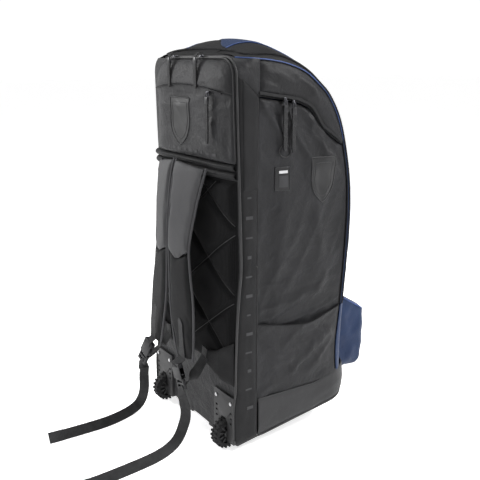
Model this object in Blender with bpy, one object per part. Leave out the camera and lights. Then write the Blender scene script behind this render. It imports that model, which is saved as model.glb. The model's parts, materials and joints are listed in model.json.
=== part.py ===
"""Wheeled hockey equipment bag, made of separate panels, straps, buckles, zips and wheels.

Metres, +Z up, +Y towards the front of the bag, +X to the wearer's right hand.
The back panel carries the shoulder straps and stands over two wheels. The floor is Z = 0.
Depths are counted forward from the back panel, and at() turns a depth into a Y place.
"""
import math

import bmesh
import bpy
from mathutils import Matrix, Vector

# ------------------------------------------------------------------ driving dimensions
BACK_Y = -0.16575          # back panel plane; sets the whole bag's middle at Y = 0
HALF_WIDTH = 0.1890        # outer face of the side panels
BACK_TOP = 0.8840          # top of the back panel
SHELL = 0.0050             # thickness of the stiffened panels
GAP = 0.0005               # clearance between neighbouring pieces
BASE_BACK_LOW = 0.0245     # underside of the base at the back panel
BASE_RISE = 0.1550         # how fast that underside rises towards the front
BASE_TOP = 0.1150          # top of the base band
HINGE_Z = 0.3030           # lower edge of the flap, where it folds open
FRONT_DEPTH = 0.3510       # crown of the front at the fold line

WHEEL_X = 0.1480
WHEEL_RADIUS = 0.0350
WHEEL_DEPTH = -0.0020
TYRE_INNER = 0.0245
WHEEL_HALF_WIDTH = 0.0120
AXLE_RADIUS = 0.0030
HUB_BORE = 0.0034

BRACKET_INNER = 0.1060     # bracket edge nearer the middle
BRACKET_DEPTH = 0.0380     # how far each bracket reaches into the base
BRACKET_LOW = 0.0200
BRACKET_TOP = 0.1340
BRACKET_FACE = -0.0070     # outer face of the bracket plate

WEBBING = 0.0250
WEBBING_THICK = 0.0016
PAD_THICK = 0.0120
STRAP_THICK = 0.0160

# The side panel's front and top edge as (depth, height), and how far the shell swells past it.
SIDE_EDGE = [
    (0.2940, 0.1160, 0.0520), (0.2900, 0.2000, 0.0640), (0.3010, 0.3030, 0.0500),
    (0.3110, 0.4200, 0.0500), (0.3160, 0.5200, 0.0480), (0.3130, 0.6040, 0.0460),
    (0.2980, 0.6870, 0.0420), (0.2790, 0.7510, 0.0360), (0.2500, 0.8010, 0.0290),
    (0.2200, 0.8290, 0.0250), (0.1850, 0.8540, 0.0300), (0.1380, 0.8710, 0.0430),
    (0.0860, 0.8800, 0.0480), (0.0120, 0.8855, 0.0120),
]

# Zip mouth of the side pocket, lower edge, as (depth, height).
ZIP_LINE = [
    (0.0580, 0.8060), (0.1050, 0.7990), (0.1530, 0.7920), (0.1810, 0.7830), (0.2050, 0.7680),
    (0.2320, 0.7300), (0.2540, 0.7145), (0.2850, 0.6940),
]

# Shoulder strap, outer face on the right: (X, depth, height, half width, turn in degrees).
STRAP_LINE = [
    (0.0575, -0.0385, 0.6560, 0.0520, 13.0), (0.0550, -0.0470, 0.6250, 0.0500, 13.0),
    (0.0490, -0.0580, 0.5600, 0.0450, 12.0), (0.0425, -0.0665, 0.4700, 0.0380, 10.0),
    (0.0470, -0.0680, 0.4000, 0.0410, 8.0), (0.0550, -0.0690, 0.3400, 0.0455, 7.0),
    (0.0640, -0.0710, 0.2750, 0.0420, 7.0), (0.0720, -0.0720, 0.2300, 0.0360, 6.0),
    (0.0760, -0.0720, 0.2020, 0.0290, 5.0),
]

# Where each socket opens, and the way its tongue pulls out: the left strap hangs a little further out.
BUCKLES = {
    "right": ((0.0790, -0.0820, 0.1620), (0.2700, 0.1000, -0.9570)),
    "left": ((-0.0860, -0.0900, 0.1690), (-0.3200, -0.2600, -0.9100)),
}
SOCKET_LENGTH = 0.0360
TONGUE_LENGTH = 0.0260
BUCKLE_HALF_WIDTH = 0.0180
BUCKLE_HALF_THICK = 0.0060

# Free webbing tails from the ladder bar to the floor, as (X, depth, height) centres.
TAIL_LINES = {
    "right": [
        (0.0975, -0.0882, 0.1270), (0.1030, -0.0872, 0.1180), (0.1055, -0.0864, 0.1080),
        (0.1060, -0.0830, 0.0920), (0.1035, -0.0832, 0.0710), (0.0995, -0.0863, 0.0535),
        (0.0960, -0.0918, 0.0345), (0.0950, -0.1010, 0.0195), (0.0995, -0.1160, 0.0120),
        (0.1110, -0.1400, 0.0102), (0.1220, -0.1720, 0.0102), (0.1285, -0.2060, 0.0102),
        (0.1335, -0.2400, 0.0102), (0.1375, -0.2720, 0.0102), (0.1410, -0.3030, 0.0102),
        (0.1430, -0.3340, 0.0102), (0.1440, -0.3640, 0.0102),
    ],
    "left": [
        (-0.0770, -0.0975, 0.1340), (-0.0820, -0.0970, 0.1180), (-0.0840, -0.0960, 0.0980),
        (-0.0875, -0.0950, 0.0750), (-0.0960, -0.0955, 0.0520), (-0.1070, -0.0995, 0.0300),
        (-0.1130, -0.1110, 0.0160), (-0.1080, -0.1350, 0.0106), (-0.0980, -0.1660, 0.0102),
        (-0.0910, -0.2010, 0.0102), (-0.0890, -0.2340, 0.0102), (-0.0880, -0.2680, 0.0102),
        (-0.0880, -0.3060, 0.0102), (-0.0890, -0.3420, 0.0102),
    ],
}
# The way each tail's face looks where it hangs; on the floor both lean up and out the same way.
TAIL_FACE = {"right": Vector((0.45, -0.90, 0.0)), "left": Vector((1.00, 0.0, 0.0))}
FLOOR_FACE = Vector((0.75, -0.20, 0.66))

SIDES = (("right", 1.0), ("left", -1.0))

# Finishes: sRGB colour, roughness, metallic.
FINISHES = {
    "main_fabric": ("2f2f31", 0.85, 0.0),
    "base_fabric": ("3c3c3e", 0.80, 0.0),
    "mesh_fabric": ("1e1e20", 0.90, 0.0),
    "strap_fabric": ("3a3a3c", 0.85, 0.0),
    "navy_fabric": ("2b3f6b", 0.80, 0.0),
    "webbing": ("222224", 0.80, 0.0),
    "moulded_grey": ("555558", 0.50, 0.0),
    "black_plastic": ("18181a", 0.40, 0.0),
    "tyre_rubber": ("161618", 0.70, 0.0),
    "steel": ("b8b8ba", 0.30, 1.0),
    "zip_metal": ("3a3a3c", 0.35, 1.0),
}


# ------------------------------------------------------------------ helpers
def at(depth):
    """Y of a place this far in front of the back panel."""
    return BACK_Y + depth


def base_low(y):
    """Height of the base's underside at a Y place."""
    return BASE_BACK_LOW + BASE_RISE * (y - BACK_Y)


def linear(channel):
    return channel / 12.92 if channel <= 0.04045 else ((channel + 0.055) / 1.055) ** 2.4


def finish_for(name, finish):
    """A Principled material of its own for each piece."""
    code, roughness, metallic = FINISHES[finish]
    colour = [linear(int(code[i:i + 2], 16) / 255.0) for i in (0, 2, 4)]
    material = bpy.data.materials.new(name)
    material.use_nodes = True
    shader = material.node_tree.nodes["Principled BSDF"]
    shader.inputs["Base Color"].default_value = (*colour, 1.0)
    shader.inputs["Roughness"].default_value = roughness
    shader.inputs["Metallic"].default_value = metallic
    return material


def piece(name, bm, finish, pivot=(0.0, 0.0, 0.0)):
    """Turn a bmesh in world places into an object whose origin is at pivot."""
    bmesh.ops.recalc_face_normals(bm, faces=bm.faces)
    bmesh.ops.translate(bm, verts=bm.verts, vec=-Vector(pivot))
    mesh = bpy.data.meshes.new(name)
    bm.to_mesh(mesh)
    bm.free()
    obj = bpy.data.objects.new(name, mesh)
    obj.location = pivot
    if finish:
        mesh.materials.append(finish_for(name, finish))
    bpy.context.collection.objects.link(obj)
    return obj


def loft(name, rings, finish, pivot=(0.0, 0.0, 0.0)):
    """Close a row of equal rings of points into one solid, with a cap at each end."""
    bm = bmesh.new()
    rows = [[bm.verts.new(point) for point in ring] for ring in rings]
    count = len(rows[0])
    for low, high in zip(rows, rows[1:]):
        for i in range(count):
            j = (i + 1) % count
            bm.faces.new((low[i], low[j], high[j], high[i]))
    bm.faces.new(rows[0])
    bm.faces.new(rows[-1])
    return piece(name, bm, finish, pivot)


def prism(name, outline, axis, low, high, finish, pivot=(0.0, 0.0, 0.0)):
    """Extrude a 2D outline along X, Y or Z from low to high."""
    def place(u, v, w):
        return {"X": (w, u, v), "Y": (u, w, v), "Z": (u, v, w)}[axis]
    rings = [[place(u, v, w) for u, v in outline] for w in (low, high)]
    return loft(name, rings, finish, pivot)


def box(name, low, high, finish, pivot=(0.0, 0.0, 0.0)):
    outline = [(low[0], low[1]), (high[0], low[1]), (high[0], high[1]), (low[0], high[1])]
    return prism(name, outline, "Z", low[2], high[2], finish, pivot)


def mirrored(low, high, sign):
    """A box's corners, on the right or mirrored to the left."""
    xs = sorted((low[0] * sign, high[0] * sign))
    return (xs[0], low[1], low[2]), (xs[1], high[1], high[2])


def cutter(obj):
    obj.hide_render = True
    obj.display_type = "WIRE"
    return obj


def cut(obj, tool):
    """Take the tool's shape out of the piece."""
    modifier = obj.modifiers.new("cut_" + tool.name, "BOOLEAN")
    modifier.operation = "DIFFERENCE"
    modifier.solver = "EXACT"
    modifier.object = cutter(tool)


def bevelled(obj, width, segments=2):
    modifier = obj.modifiers.new("soft_edges", "BEVEL")
    modifier.width = width
    modifier.segments = segments
    modifier.limit_method = "ANGLE"
    modifier.angle_limit = math.radians(40)
    return obj


def smooth_shaded(obj):
    obj.data.shade_smooth()
    obj.data.set_sharp_from_angle(angle=math.radians(35))
    return obj


def curve_through(points, per_span):
    """Points along a Catmull-Rom curve through the given ones."""
    ends = [points[0]] + list(points) + [points[-1]]
    result = []
    for i in range(1, len(ends) - 2):
        before, here, there, after = ends[i - 1:i + 3]
        for step in range(per_span):
            t = step / per_span
            result.append(tuple(
                0.5 * (2 * b + (c - a) * t + (2 * a - 5 * b + 4 * c - d) * t * t
                       + (3 * b - a - 3 * c + d) * t ** 3)
                for a, b, c, d in zip(before, here, there, after)))
    result.append(tuple(points[-1]))
    return result


def edge_with_normals(points):
    """Each (depth, height, rise) point as depth, height, outward normal and rise."""
    result = []
    for i, (depth, height, rise) in enumerate(points):
        before = points[max(i - 1, 0)]
        after = points[min(i + 1, len(points) - 1)]
        along = Vector((after[0] - before[0], after[1] - before[1])).normalized()
        result.append((depth, height, along.y, -along.x, rise))
    return result


def rounded_rectangle(half_width, low, high, radius, steps=5):
    """Outline in (X, Y) with two round front corners."""
    outline = [(-half_width, low), (half_width, low)]
    for centre_x, start in ((half_width - radius, 0.0), (radius - half_width, 0.5 * math.pi)):
        for step in range(steps + 1):
            angle = start + 0.5 * math.pi * step / steps
            outline.append((centre_x + radius * math.cos(angle), high - radius + radius * math.sin(angle)))
    return outline


# ------------------------------------------------------------------ the body's panels
def domed_ring(depth, height, out_depth, out_height, rise):
    """Cross-section of the front shell: an arch from one side panel over to the other."""
    steps = 14
    ring = []
    for inset, order in ((0.0, 1), (SHELL, -1)):
        half = HALF_WIDTH - GAP - inset
        crown = rise - inset
        for step in range(steps + 1)[::order]:
            angle = math.pi * (step / steps - 0.5)
            across = math.sin(angle) * half
            lift = math.cos(angle) * crown
            ring.append((across, at(depth + out_depth * lift), height + out_height * lift))
    return ring


def front_shells():
    """The fixed lower front and the long flap that opens the main compartment."""
    edge = curve_through(SIDE_EDGE, 2)
    stations = edge_with_normals(edge)
    fold = min(range(len(edge)), key=lambda i: abs(edge[i][1] - HINGE_Z))
    lower = [(depth, height, 1.0, 0.0, rise) for depth, height, _, _, rise in stations[:fold]]
    lower.append((stations[fold][0], HINGE_Z - 0.001, 1.0, 0.0, stations[fold][4]))
    loft("lower_front_panel", [domed_ring(*station) for station in lower], "navy_fabric")
    upper = [(stations[fold][0], HINGE_Z, 1.0, 0.0, stations[fold][4])] + stations[fold + 1:]
    loft("main_flap", [domed_ring(*station) for station in upper], "navy_fabric",
         (0.0, at(FRONT_DEPTH), HINGE_Z))


def side_panels():
    """Side panels with a shallow recess behind each of their two pockets."""
    edge = curve_through(SIDE_EDGE, 2)
    inset = []
    for depth, height, out_depth, out_height, _ in edge_with_normals(edge):
        inset.append((at(depth - out_depth * 0.0008), height - out_height * 0.0008))
    inset[0] = (inset[0][0], BASE_TOP + GAP)
    outline = [(at(0.0078), BASE_TOP + GAP)] + inset + [(at(0.0078), inset[-1][1])]
    upper = [(at(0.0580), 0.3160), (at(0.2890), 0.3160), (at(0.2950), 0.4600), (at(0.2940), 0.6000)]
    upper += [(at(d), z + 0.0080) for d, z in reversed(ZIP_LINE)]
    lower = [(at(0.0580), 0.1210), (at(0.2850), 0.1210), (at(0.2880), 0.3120), (at(0.0580), 0.3120)]
    for side, sign in SIDES:
        xs = sorted((0.1680 * sign, HALF_WIDTH * sign))
        panel = prism("side_panel_" + side, outline, "X", xs[0], xs[1], "main_fabric")
        for label, recess in (("zip_recess_", upper), ("hem_recess_", lower)):
            reach = sorted((0.1730 * sign, 0.2100 * sign))
            cut(panel, prism(label + side, recess, "X", reach[0], reach[1], None))


def side_pockets():
    """The zipped pocket and the open pocket below it, on both side panels."""
    upper = [(at(0.0586), 0.3166), (at(0.2884), 0.3166), (at(0.2943), 0.4600), (at(0.2933), 0.6000)]
    upper += [(at(min(max(d, 0.0586), 0.2840)), z) for d, z in reversed(ZIP_LINE)]
    lower = [
        (at(0.0586), 0.1216), (at(0.2844), 0.1216), (at(0.2872), 0.3020), (at(0.2400), 0.2900),
        (at(0.1870), 0.2820), (at(0.1200), 0.2900), (at(0.0586), 0.2990),
    ]
    for side, sign in SIDES:
        xs = sorted((0.1860 * sign, 0.1900 * sign))
        prism("side_pocket_" + side, upper, "X", xs[0], xs[1], "main_fabric")
        xs = sorted((0.1860 * sign, 0.1930 * sign))
        prism("hem_pocket_" + side, lower, "X", xs[0], xs[1], "main_fabric")


def base_and_back():
    """The open base tray, its two skid rails, and the back board."""
    notch = BRACKET_INNER - GAP
    def tray_outline(inset):
        front = rounded_rectangle(HALF_WIDTH + 0.001 - inset, 0.0, at(0.3480 - inset), 0.0500)[2:]
        back = at(0.0 + inset)
        step = at(BRACKET_DEPTH + GAP + inset)
        side = HALF_WIDTH + 0.001 - inset
        return [(-side, step), (-notch + inset, step), (-notch + inset, back),
                (notch - inset, back), (notch - inset, step), (side, step)] + front

    def tray_rings(inset, floor, top):
        return [[(x, y, base_low(y) + floor) for x, y in tray_outline(inset)],
                [(x, y, top) for x, y in tray_outline(inset)]]
    tray = loft("base_tray", tray_rings(0.0, 0.0, BASE_TOP), "base_fabric")
    cut(tray, loft("tray_hollow", tray_rings(SHELL, SHELL, 0.2), None))
    for side, sign in SIDES:
        profile = [(at(0.0150), 0.0), (at(0.2700), 0.0)]
        profile += [(y, base_low(y) - GAP) for y, _ in reversed(profile)]
        xs = sorted((0.0400 * sign, 0.0620 * sign))
        bevelled(prism("skid_rail_" + side, profile, "X", xs[0], xs[1], "moulded_grey"), 0.0030)
    box("back_board", (-HALF_WIDTH, at(0.0), BASE_TOP + GAP), (HALF_WIDTH, at(0.0070), BACK_TOP),
        "main_fabric")


def back_pieces():
    """The hollow top pocket, its rolled bands, and the quilted pad below."""
    pocket = box("back_top_pocket", (-0.1520, at(-0.0180), 0.6660), (0.1520, at(-GAP), BACK_TOP),
                 "main_fabric")
    bevelled(pocket, 0.0080, 3)
    cut(pocket, box("pocket_hollow", (-0.1460, at(-0.0140), 0.6710), (0.1460, at(-0.0040), 0.8790), None))
    cut(pocket, box("pocket_mouth", (-0.1360, at(-0.0400), 0.8060), (0.1360, at(-0.0100), 0.8140), None))
    pad = box("back_pad", (-0.1700, at(-PAD_THICK), 0.1880), (0.1700, at(-GAP), 0.6270), "mesh_fabric")
    bevelled(pad, 0.0040)
    roll = [(at(-0.0055 + 0.0045 * math.cos(math.radians(a))), 0.6465 + 0.0180 * math.sin(math.radians(a)))
            for a in range(0, 360, 36)]
    prism("rolled_band", roll, "X", -0.1700, 0.1700, "main_fabric")


def front_pocket():
    """The ball pocket on the front, open at its sloping top, with a lid folded over it."""
    half, back = 0.1420, FRONT_DEPTH + 0.0030
    front = 0.4320
    low_z, high_z, slope = 0.1000, 0.2920, 0.60

    def pocket(name, inset, low, lift, finish):
        outline = rounded_rectangle(half - inset, at(back + inset), at(front - inset), 0.0300)
        rings = [[(x, y, low) for x, y in outline],
                 [(x, y, high_z - slope * (y - at(back)) + lift) for x, y in outline]]
        return loft(name, rings, finish)
    shell = pocket("front_pocket", 0.0, low_z, 0.0, "navy_fabric")
    cut(shell, pocket("ball_hollow", 0.0050, low_z + 0.0050, 0.0500, None))
    outline = rounded_rectangle(half, at(back), at(front), 0.0300)
    rings = [[(x, y, high_z - slope * (y - at(back)) + lift) for x, y in outline]
             for lift in (GAP, 0.0050)]
    hinge = (0.0, at(front) + 0.0004, high_z - slope * (front - back) + GAP)
    loft("front_pocket_lid", rings, "navy_fabric", hinge)


# ------------------------------------------------------------------ straps and webbing
def ribbon(name, line, thickness, finish):
    """A flat strap along (X, depth, height, half width, turn) points, its face towards the back."""
    rings = []
    for i, (x, depth, height, half, turn) in enumerate(line):
        before = line[max(i - 1, 0)]
        after = line[min(i + 1, len(line) - 1)]
        along = Vector((0.0, after[1] - before[1], after[2] - before[2])).normalized()
        lean = math.radians(turn)
        side = Vector((math.cos(lean), math.copysign(math.sin(lean), x), 0.0))
        side.y *= 1.0 if lean else 0.0
        inward = side.cross(along).normalized() * thickness
        if inward.y < 0.0:
            inward.negate()
        outer = Vector((x, at(depth), height))
        soft = 0.25 * thickness
        trim = side * (half - soft)
        side = side * half
        unit = inward.normalized() * soft
        rings.append([outer - trim, outer + trim, outer + side + unit, outer + side + inward - unit,
                      outer + trim + inward, outer - trim + inward, outer - side + inward - unit,
                      outer - side + unit])
    return loft(name, rings, finish)


def shoulder_straps():
    for side, sign in SIDES:
        line = [(x * sign, *rest) for x, *rest in curve_through(STRAP_LINE, 2)]
        smooth_shaded(ribbon("shoulder_strap_" + side, line, STRAP_THICK, "strap_fabric"))


def strap_wings():
    """The lower wings that hold the straps' webbing to the back's outer edges."""
    for side, sign in SIDES:
        outline = [(0.1700, 0.2560), (0.1700, 0.1660), (0.1250, 0.1750), (0.0820, 0.1900),
                   (0.0900, 0.2240)]
        outline = [(x * sign, z) for x, z in outline]
        prism("strap_wing_" + side, outline, "Y", at(-PAD_THICK - 0.0085), at(-PAD_THICK - GAP),
              "main_fabric")
        mouth, down = Vector(BUCKLES[side][0]), Vector(BUCKLES[side][1]).normalized()
        end = mouth + down * 0.0180 + Vector((0.0, 0.0060, 0.0))
        start = Vector((0.0900 * sign, -0.0215, 0.2050))
        line = []
        for i in range(7):
            t = i / 6
            place = start.lerp(end, t) + Vector((0.0, 0.0, -0.0080 * math.sin(math.pi * t)))
            line.append((place.x, place.y - WEBBING_THICK, place.z, 0.5 * WEBBING, 0.0))
        ribbon("anchor_webbing_" + side, line, WEBBING_THICK, "webbing")


def strap_tails():
    """The long free ends of webbing that hang from the ladder bars to the floor."""
    for side, _ in SIDES:
        places = curve_through(TAIL_LINES[side], 2)
        rings = []
        for i, (x, depth, height) in enumerate(places):
            before = places[max(i - 1, 0)]
            after = places[min(i + 1, len(places) - 1)]
            along = Vector([b - a for a, b in zip(before, after)]).normalized()
            facing = TAIL_FACE[side].lerp(FLOOR_FACE, min(max((0.1200 - height) / 0.1000, 0.0), 1.0))
            facing = (facing - along * facing.dot(along)).normalized() * 0.5 * WEBBING_THICK
            across = along.cross(facing).normalized() * 0.5 * WEBBING
            centre = Vector((x, at(depth), height))
            rings.append([centre - across - facing, centre + across - facing,
                          centre + across + facing, centre - across + facing])
        loft("strap_tail_" + side, rings, "webbing")


def buckle_frame(side):
    """World placement of a buckle: local -Z is the way the tongue pulls out, local Y faces front."""
    mouth, down = BUCKLES[side]
    up = -Vector(down).normalized()
    across = Vector((0.0, 1.0, 0.0)).cross(up).normalized()
    turn = Matrix((across, up.cross(across), up)).transposed().to_4x4()
    return Matrix.Translation(Vector((mouth[0], at(mouth[1]), mouth[2]))) @ turn


def buckles():
    """Side-release buckles: fork-shaped socket, ladder tongue, and a sprung prong each side."""
    wide, thick = BUCKLE_HALF_WIDTH, BUCKLE_HALF_THICK
    for side, sign in SIDES:
        frame = buckle_frame(side)
        fork = [(-thick, 0.0), (-0.0036, 0.0), (-0.0036, 0.0240), (0.0036, 0.0240), (0.0036, 0.0),
                (thick, 0.0), (thick, SOCKET_LENGTH), (-thick, SOCKET_LENGTH)]
        prism("buckle_socket_" + side, fork, "X", -wide, wide, "black_plastic").matrix_world = frame
        blade = [(-wide, -TONGUE_LENGTH), (wide, -TONGUE_LENGTH), (wide, -0.0008), (0.0030, -0.0008),
                 (0.0030, 0.0200), (-0.0030, 0.0200), (-0.0030, -0.0008), (-wide, -0.0008)]
        tongue = prism("buckle_tongue_" + side, blade, "Y", -0.0032, 0.0032, "black_plastic")
        tongue.matrix_world = frame
        for label, low in (("upper_slot_", -0.0100), ("lower_slot_", -0.0200)):
            slot = box(label + side, (-0.0130, -0.01, low), (0.0130, 0.01, low + 0.0050), None)
            slot.matrix_world = frame
            cut(tongue, slot)
        for place, way in (("inner", -1.0), ("outer", 1.0)):
            arrow = [(0.0090, 0.0002), (0.0150, 0.0002), (0.0174, 0.0040), (0.0184, 0.0110),
                     (0.0150, 0.0190), (0.0110, 0.0215), (0.0090, 0.0180)]
            arrow = [(x * way * sign, z) for x, z in arrow]
            prong = prism("buckle_prong_%s_%s" % (place, side), arrow, "Y", -0.0030, 0.0030,
                          "black_plastic")
            prong.matrix_world = frame


# ------------------------------------------------------------------ wheels and brackets
def turned(name, profile, centre, finish, steps=28):
    """Spin a closed (radius, x) profile about an axle that runs along X."""
    bm = bmesh.new()
    rows = []
    for step in range(steps):
        angle = 2.0 * math.pi * step / steps
        rows.append([bm.verts.new((centre[0] + x, centre[1] + r * math.cos(angle),
                                   centre[2] + r * math.sin(angle))) for r, x in profile])
    for here, there in zip(rows, rows[1:] + rows[:1]):
        for i in range(len(profile)):
            j = (i + 1) % len(profile)
            bm.faces.new((here[i], here[j], there[j], there[i]))
    return smooth_shaded(piece(name, bm, finish, centre))


def pin(name, start, length, radius, finish, steps=14):
    """A round bar along X."""
    ring = [(start[1] + radius * math.cos(2 * math.pi * i / steps),
             start[2] + radius * math.sin(2 * math.pi * i / steps)) for i in range(steps)]
    return prism(name, ring, "X", start[0], start[0] + length, finish)


def wheel_sets():
    """Two wheels, each on its own axle in a moulded bracket at a lower back corner."""
    for side, sign in SIDES:
        centre = (WHEEL_X * sign, at(WHEEL_DEPTH), WHEEL_RADIUS)
        half = WHEEL_HALF_WIDTH
        tread = [(TYRE_INNER, -half), (WHEEL_RADIUS - 0.003, -half), (WHEEL_RADIUS, -half + 0.004),
                 (WHEEL_RADIUS, half - 0.004), (WHEEL_RADIUS - 0.003, half), (TYRE_INNER, half)]
        turned("wheel_tyre_" + side, tread, centre, "tyre_rubber")
        rim = TYRE_INNER - 0.0003
        hub = [(HUB_BORE, -half - 0.001), (0.009, -half - 0.001), (0.010, -0.006), (rim, -0.006),
               (rim, 0.006), (0.010, 0.006), (0.009, half + 0.001), (HUB_BORE, half + 0.001)]
        turned("wheel_hub_" + side, hub, centre, "moulded_grey")

        face, inner = at(BRACKET_FACE), at(BRACKET_DEPTH)
        profile = [(face, BRACKET_LOW), (inner - 0.010, BRACKET_LOW), (inner, BRACKET_LOW + 0.010),
                   (inner, BASE_TOP), (at(-GAP), BASE_TOP), (at(-GAP), BRACKET_TOP), (face, BRACKET_TOP)]
        xs = sorted((BRACKET_INNER * sign, (HALF_WIDTH + 0.001) * sign))
        bracket = prism("wheel_bracket_" + side, profile, "X", xs[0], xs[1], "moulded_grey")
        well_half = half + 0.0030
        arch = [(WHEEL_X * sign - well_half, 0.0), (WHEEL_X * sign + well_half, 0.0),
                (WHEEL_X * sign + well_half, 0.0640), (WHEEL_X * sign + 0.6 * well_half, 0.0740),
                (WHEEL_X * sign - 0.6 * well_half, 0.0740), (WHEEL_X * sign - well_half, 0.0640)]
        cut(bracket, prism("wheel_well_" + side, arch, "Y", at(-0.06), at(0.06), None))
        reach = 0.0360
        bore = (WHEEL_X * sign - reach, centre[1], centre[2])
        cut(bracket, pin("axle_hole_" + side, bore, 2 * reach, AXLE_RADIUS + 0.0003, None))
        pin("wheel_axle_" + side, (bore[0] + 0.001, bore[1], bore[2]), 2 * reach - 0.002, AXLE_RADIUS,
            "steel")
        for place, x in (("inner", WHEEL_X - 0.031), ("outer", WHEEL_X + 0.031)):
            ring = [(x * sign + 0.0045 * math.cos(a * math.pi / 6),
                     0.1180 + 0.0045 * math.sin(a * math.pi / 6)) for a in range(12)]
            rivet = prism("bracket_rivet_%s_%s" % (place, side), ring, "Y", face - 0.0025, face - 0.0003,
                          "steel")
            bevelled(rivet, 0.0010)


# ------------------------------------------------------------------ zips and handle
def zip_pieces():
    """Sliders and their pulls: two on each side pocket, one each side of the flap, one at the back."""
    for side, sign in SIDES:
        for place, depth, height in (("rear", 0.1230, 0.7960), ("front", 0.1460, 0.7905)):
            low, high = mirrored((0.1905, at(depth - 0.0035), height - 0.0050),
                                 (0.1965, at(depth + 0.0035), height + 0.0050), sign)
            box("side_slider_%s_%s" % (place, side), low, high, "zip_metal")
            low, high = mirrored((0.1970, at(depth - 0.0050), height - 0.1100),
                                 (0.1990, at(depth + 0.0050), height - 0.0005), sign)
            box("side_pull_%s_%s" % (place, side), low, high, "webbing",
                (0.1980 * sign, at(depth), height - 0.0010))
        low, high = mirrored((0.0560, at(-0.0100), 0.8850), (0.0660, at(-0.0010), 0.8910), sign)
        box("flap_slider_" + side, low, high, "zip_metal")
        profile = [(at(-0.0060), 0.8955), (at(-0.0205), 0.8945), (at(-0.0225), 0.8910),
                   (at(-0.0225), 0.8180), (at(-0.0205), 0.8180), (at(-0.0205), 0.8900),
                   (at(-0.0195), 0.8915), (at(-0.0060), 0.8915)]
        xs = sorted((0.0560 * sign, 0.0660 * sign))
        prism("flap_pull_" + side, profile, "X", xs[0], xs[1], "webbing",
              (0.0610 * sign, at(-0.0060), 0.8935))
    box("back_slider", (0.1100, at(-0.0240), 0.8050), (0.1200, at(-0.0185), 0.8150), "zip_metal")
    box("back_pull", (0.1100, at(-0.0265), 0.7030), (0.1200, at(-0.0245), 0.8135), "webbing",
        (0.1150, at(-0.0255), 0.8130))


def haul_handle():
    """A padded loop on the flap, to pull the bag along by."""
    line = [(0.3680, 0.5000), (0.3780, 0.5060), (0.3950, 0.5300), (0.3990, 0.5680), (0.3910, 0.6060),
            (0.3720, 0.6340), (0.3560, 0.6420)]
    line = curve_through(line, 2)
    rings = []
    for i, (depth, height) in enumerate(line):
        before = line[max(i - 1, 0)]
        after = line[min(i + 1, len(line) - 1)]
        along = Vector((after[0] - before[0], after[1] - before[1])).normalized()
        out = Vector((along.y, -along.x)) * 0.0030
        rings.append([(x, at(depth + s * out.x), height + s * out.y)
                      for x, s in ((-0.015, -1), (0.015, -1), (0.015, 1), (-0.015, 1))])
    loft("haul_handle", rings, "webbing")


def main():
    for obj in list(bpy.data.objects):
        bpy.data.objects.remove(obj)
    front_shells()
    side_panels()
    side_pockets()
    base_and_back()
    back_pieces()
    front_pocket()
    shoulder_straps()
    strap_wings()
    strap_tails()
    buckles()
    wheel_sets()
    zip_pieces()
    haul_handle()


main()
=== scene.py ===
# %% [markdown]
# # A wheeled kit bag, piece by piece
# The frame holds the bag's mechanical design: panels, buckles, wheels and where each one sits. This
# lesson dresses that frame. Every fabric panel becomes a soft, seamed surface, every strap becomes
# webbing, and every hard part gets the finish of its real material.

# %% Load the frame
import json
import math

import bpy
from mathutils import Matrix, Vector, noise

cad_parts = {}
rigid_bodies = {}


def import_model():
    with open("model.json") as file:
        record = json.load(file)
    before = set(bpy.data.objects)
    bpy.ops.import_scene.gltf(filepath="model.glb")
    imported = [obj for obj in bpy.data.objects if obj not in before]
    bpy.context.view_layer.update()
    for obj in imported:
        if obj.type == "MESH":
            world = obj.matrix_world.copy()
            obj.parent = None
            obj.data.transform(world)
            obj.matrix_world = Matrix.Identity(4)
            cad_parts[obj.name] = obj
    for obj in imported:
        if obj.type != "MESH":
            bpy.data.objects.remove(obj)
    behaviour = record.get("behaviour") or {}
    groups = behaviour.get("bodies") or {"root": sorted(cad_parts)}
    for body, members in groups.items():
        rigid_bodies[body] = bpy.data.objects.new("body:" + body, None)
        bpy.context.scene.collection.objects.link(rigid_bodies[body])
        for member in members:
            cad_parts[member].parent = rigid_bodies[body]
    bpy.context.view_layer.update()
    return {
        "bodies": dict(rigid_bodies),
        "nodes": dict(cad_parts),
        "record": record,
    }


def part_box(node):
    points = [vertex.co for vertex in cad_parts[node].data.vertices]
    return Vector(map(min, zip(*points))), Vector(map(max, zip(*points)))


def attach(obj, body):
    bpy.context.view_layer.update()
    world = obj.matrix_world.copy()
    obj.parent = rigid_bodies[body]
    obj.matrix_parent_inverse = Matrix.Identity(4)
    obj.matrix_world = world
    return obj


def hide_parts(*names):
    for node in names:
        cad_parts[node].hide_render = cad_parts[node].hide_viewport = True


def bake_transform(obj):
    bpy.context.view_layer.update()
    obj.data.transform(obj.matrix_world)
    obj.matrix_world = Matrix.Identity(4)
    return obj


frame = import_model()

# %% [markdown]
# The bag has one natural zero for depth: the flat of its back panel. All depths below are counted
# forward from it, and `at` turns them into world places. The side panel's outer face is the other
# plane that everything hangs on. Both are read from the frame, so nothing needs fitting.

# %% Planes and sizes that the frame gives
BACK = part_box("back_board")[0].y
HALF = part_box("side_panel_right")[1].x
BACK_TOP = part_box("back_board")[1].z
BASE_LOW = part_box("base_tray")[0].z
BASE_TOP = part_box("base_tray")[1].z
HINGE_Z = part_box("main_flap")[0].z
POCKET_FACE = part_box("back_top_pocket")[0].y - BACK
PAD_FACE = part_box("back_pad")[0].y - BACK
SIDES = (("right", 1.0), ("left", -1.0))
WEBBING = 0.0250
WEBBING_THICK = 0.0016


def at(depth):
    return BACK + depth


def mix(low, high, t):
    return low + (high - low) * t


def smooth(t):
    t = min(max(t, 0.0), 1.0)
    return t * t * (3.0 - 2.0 * t)


print("back plane", round(BACK, 4), "half width", round(HALF, 4))

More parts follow.
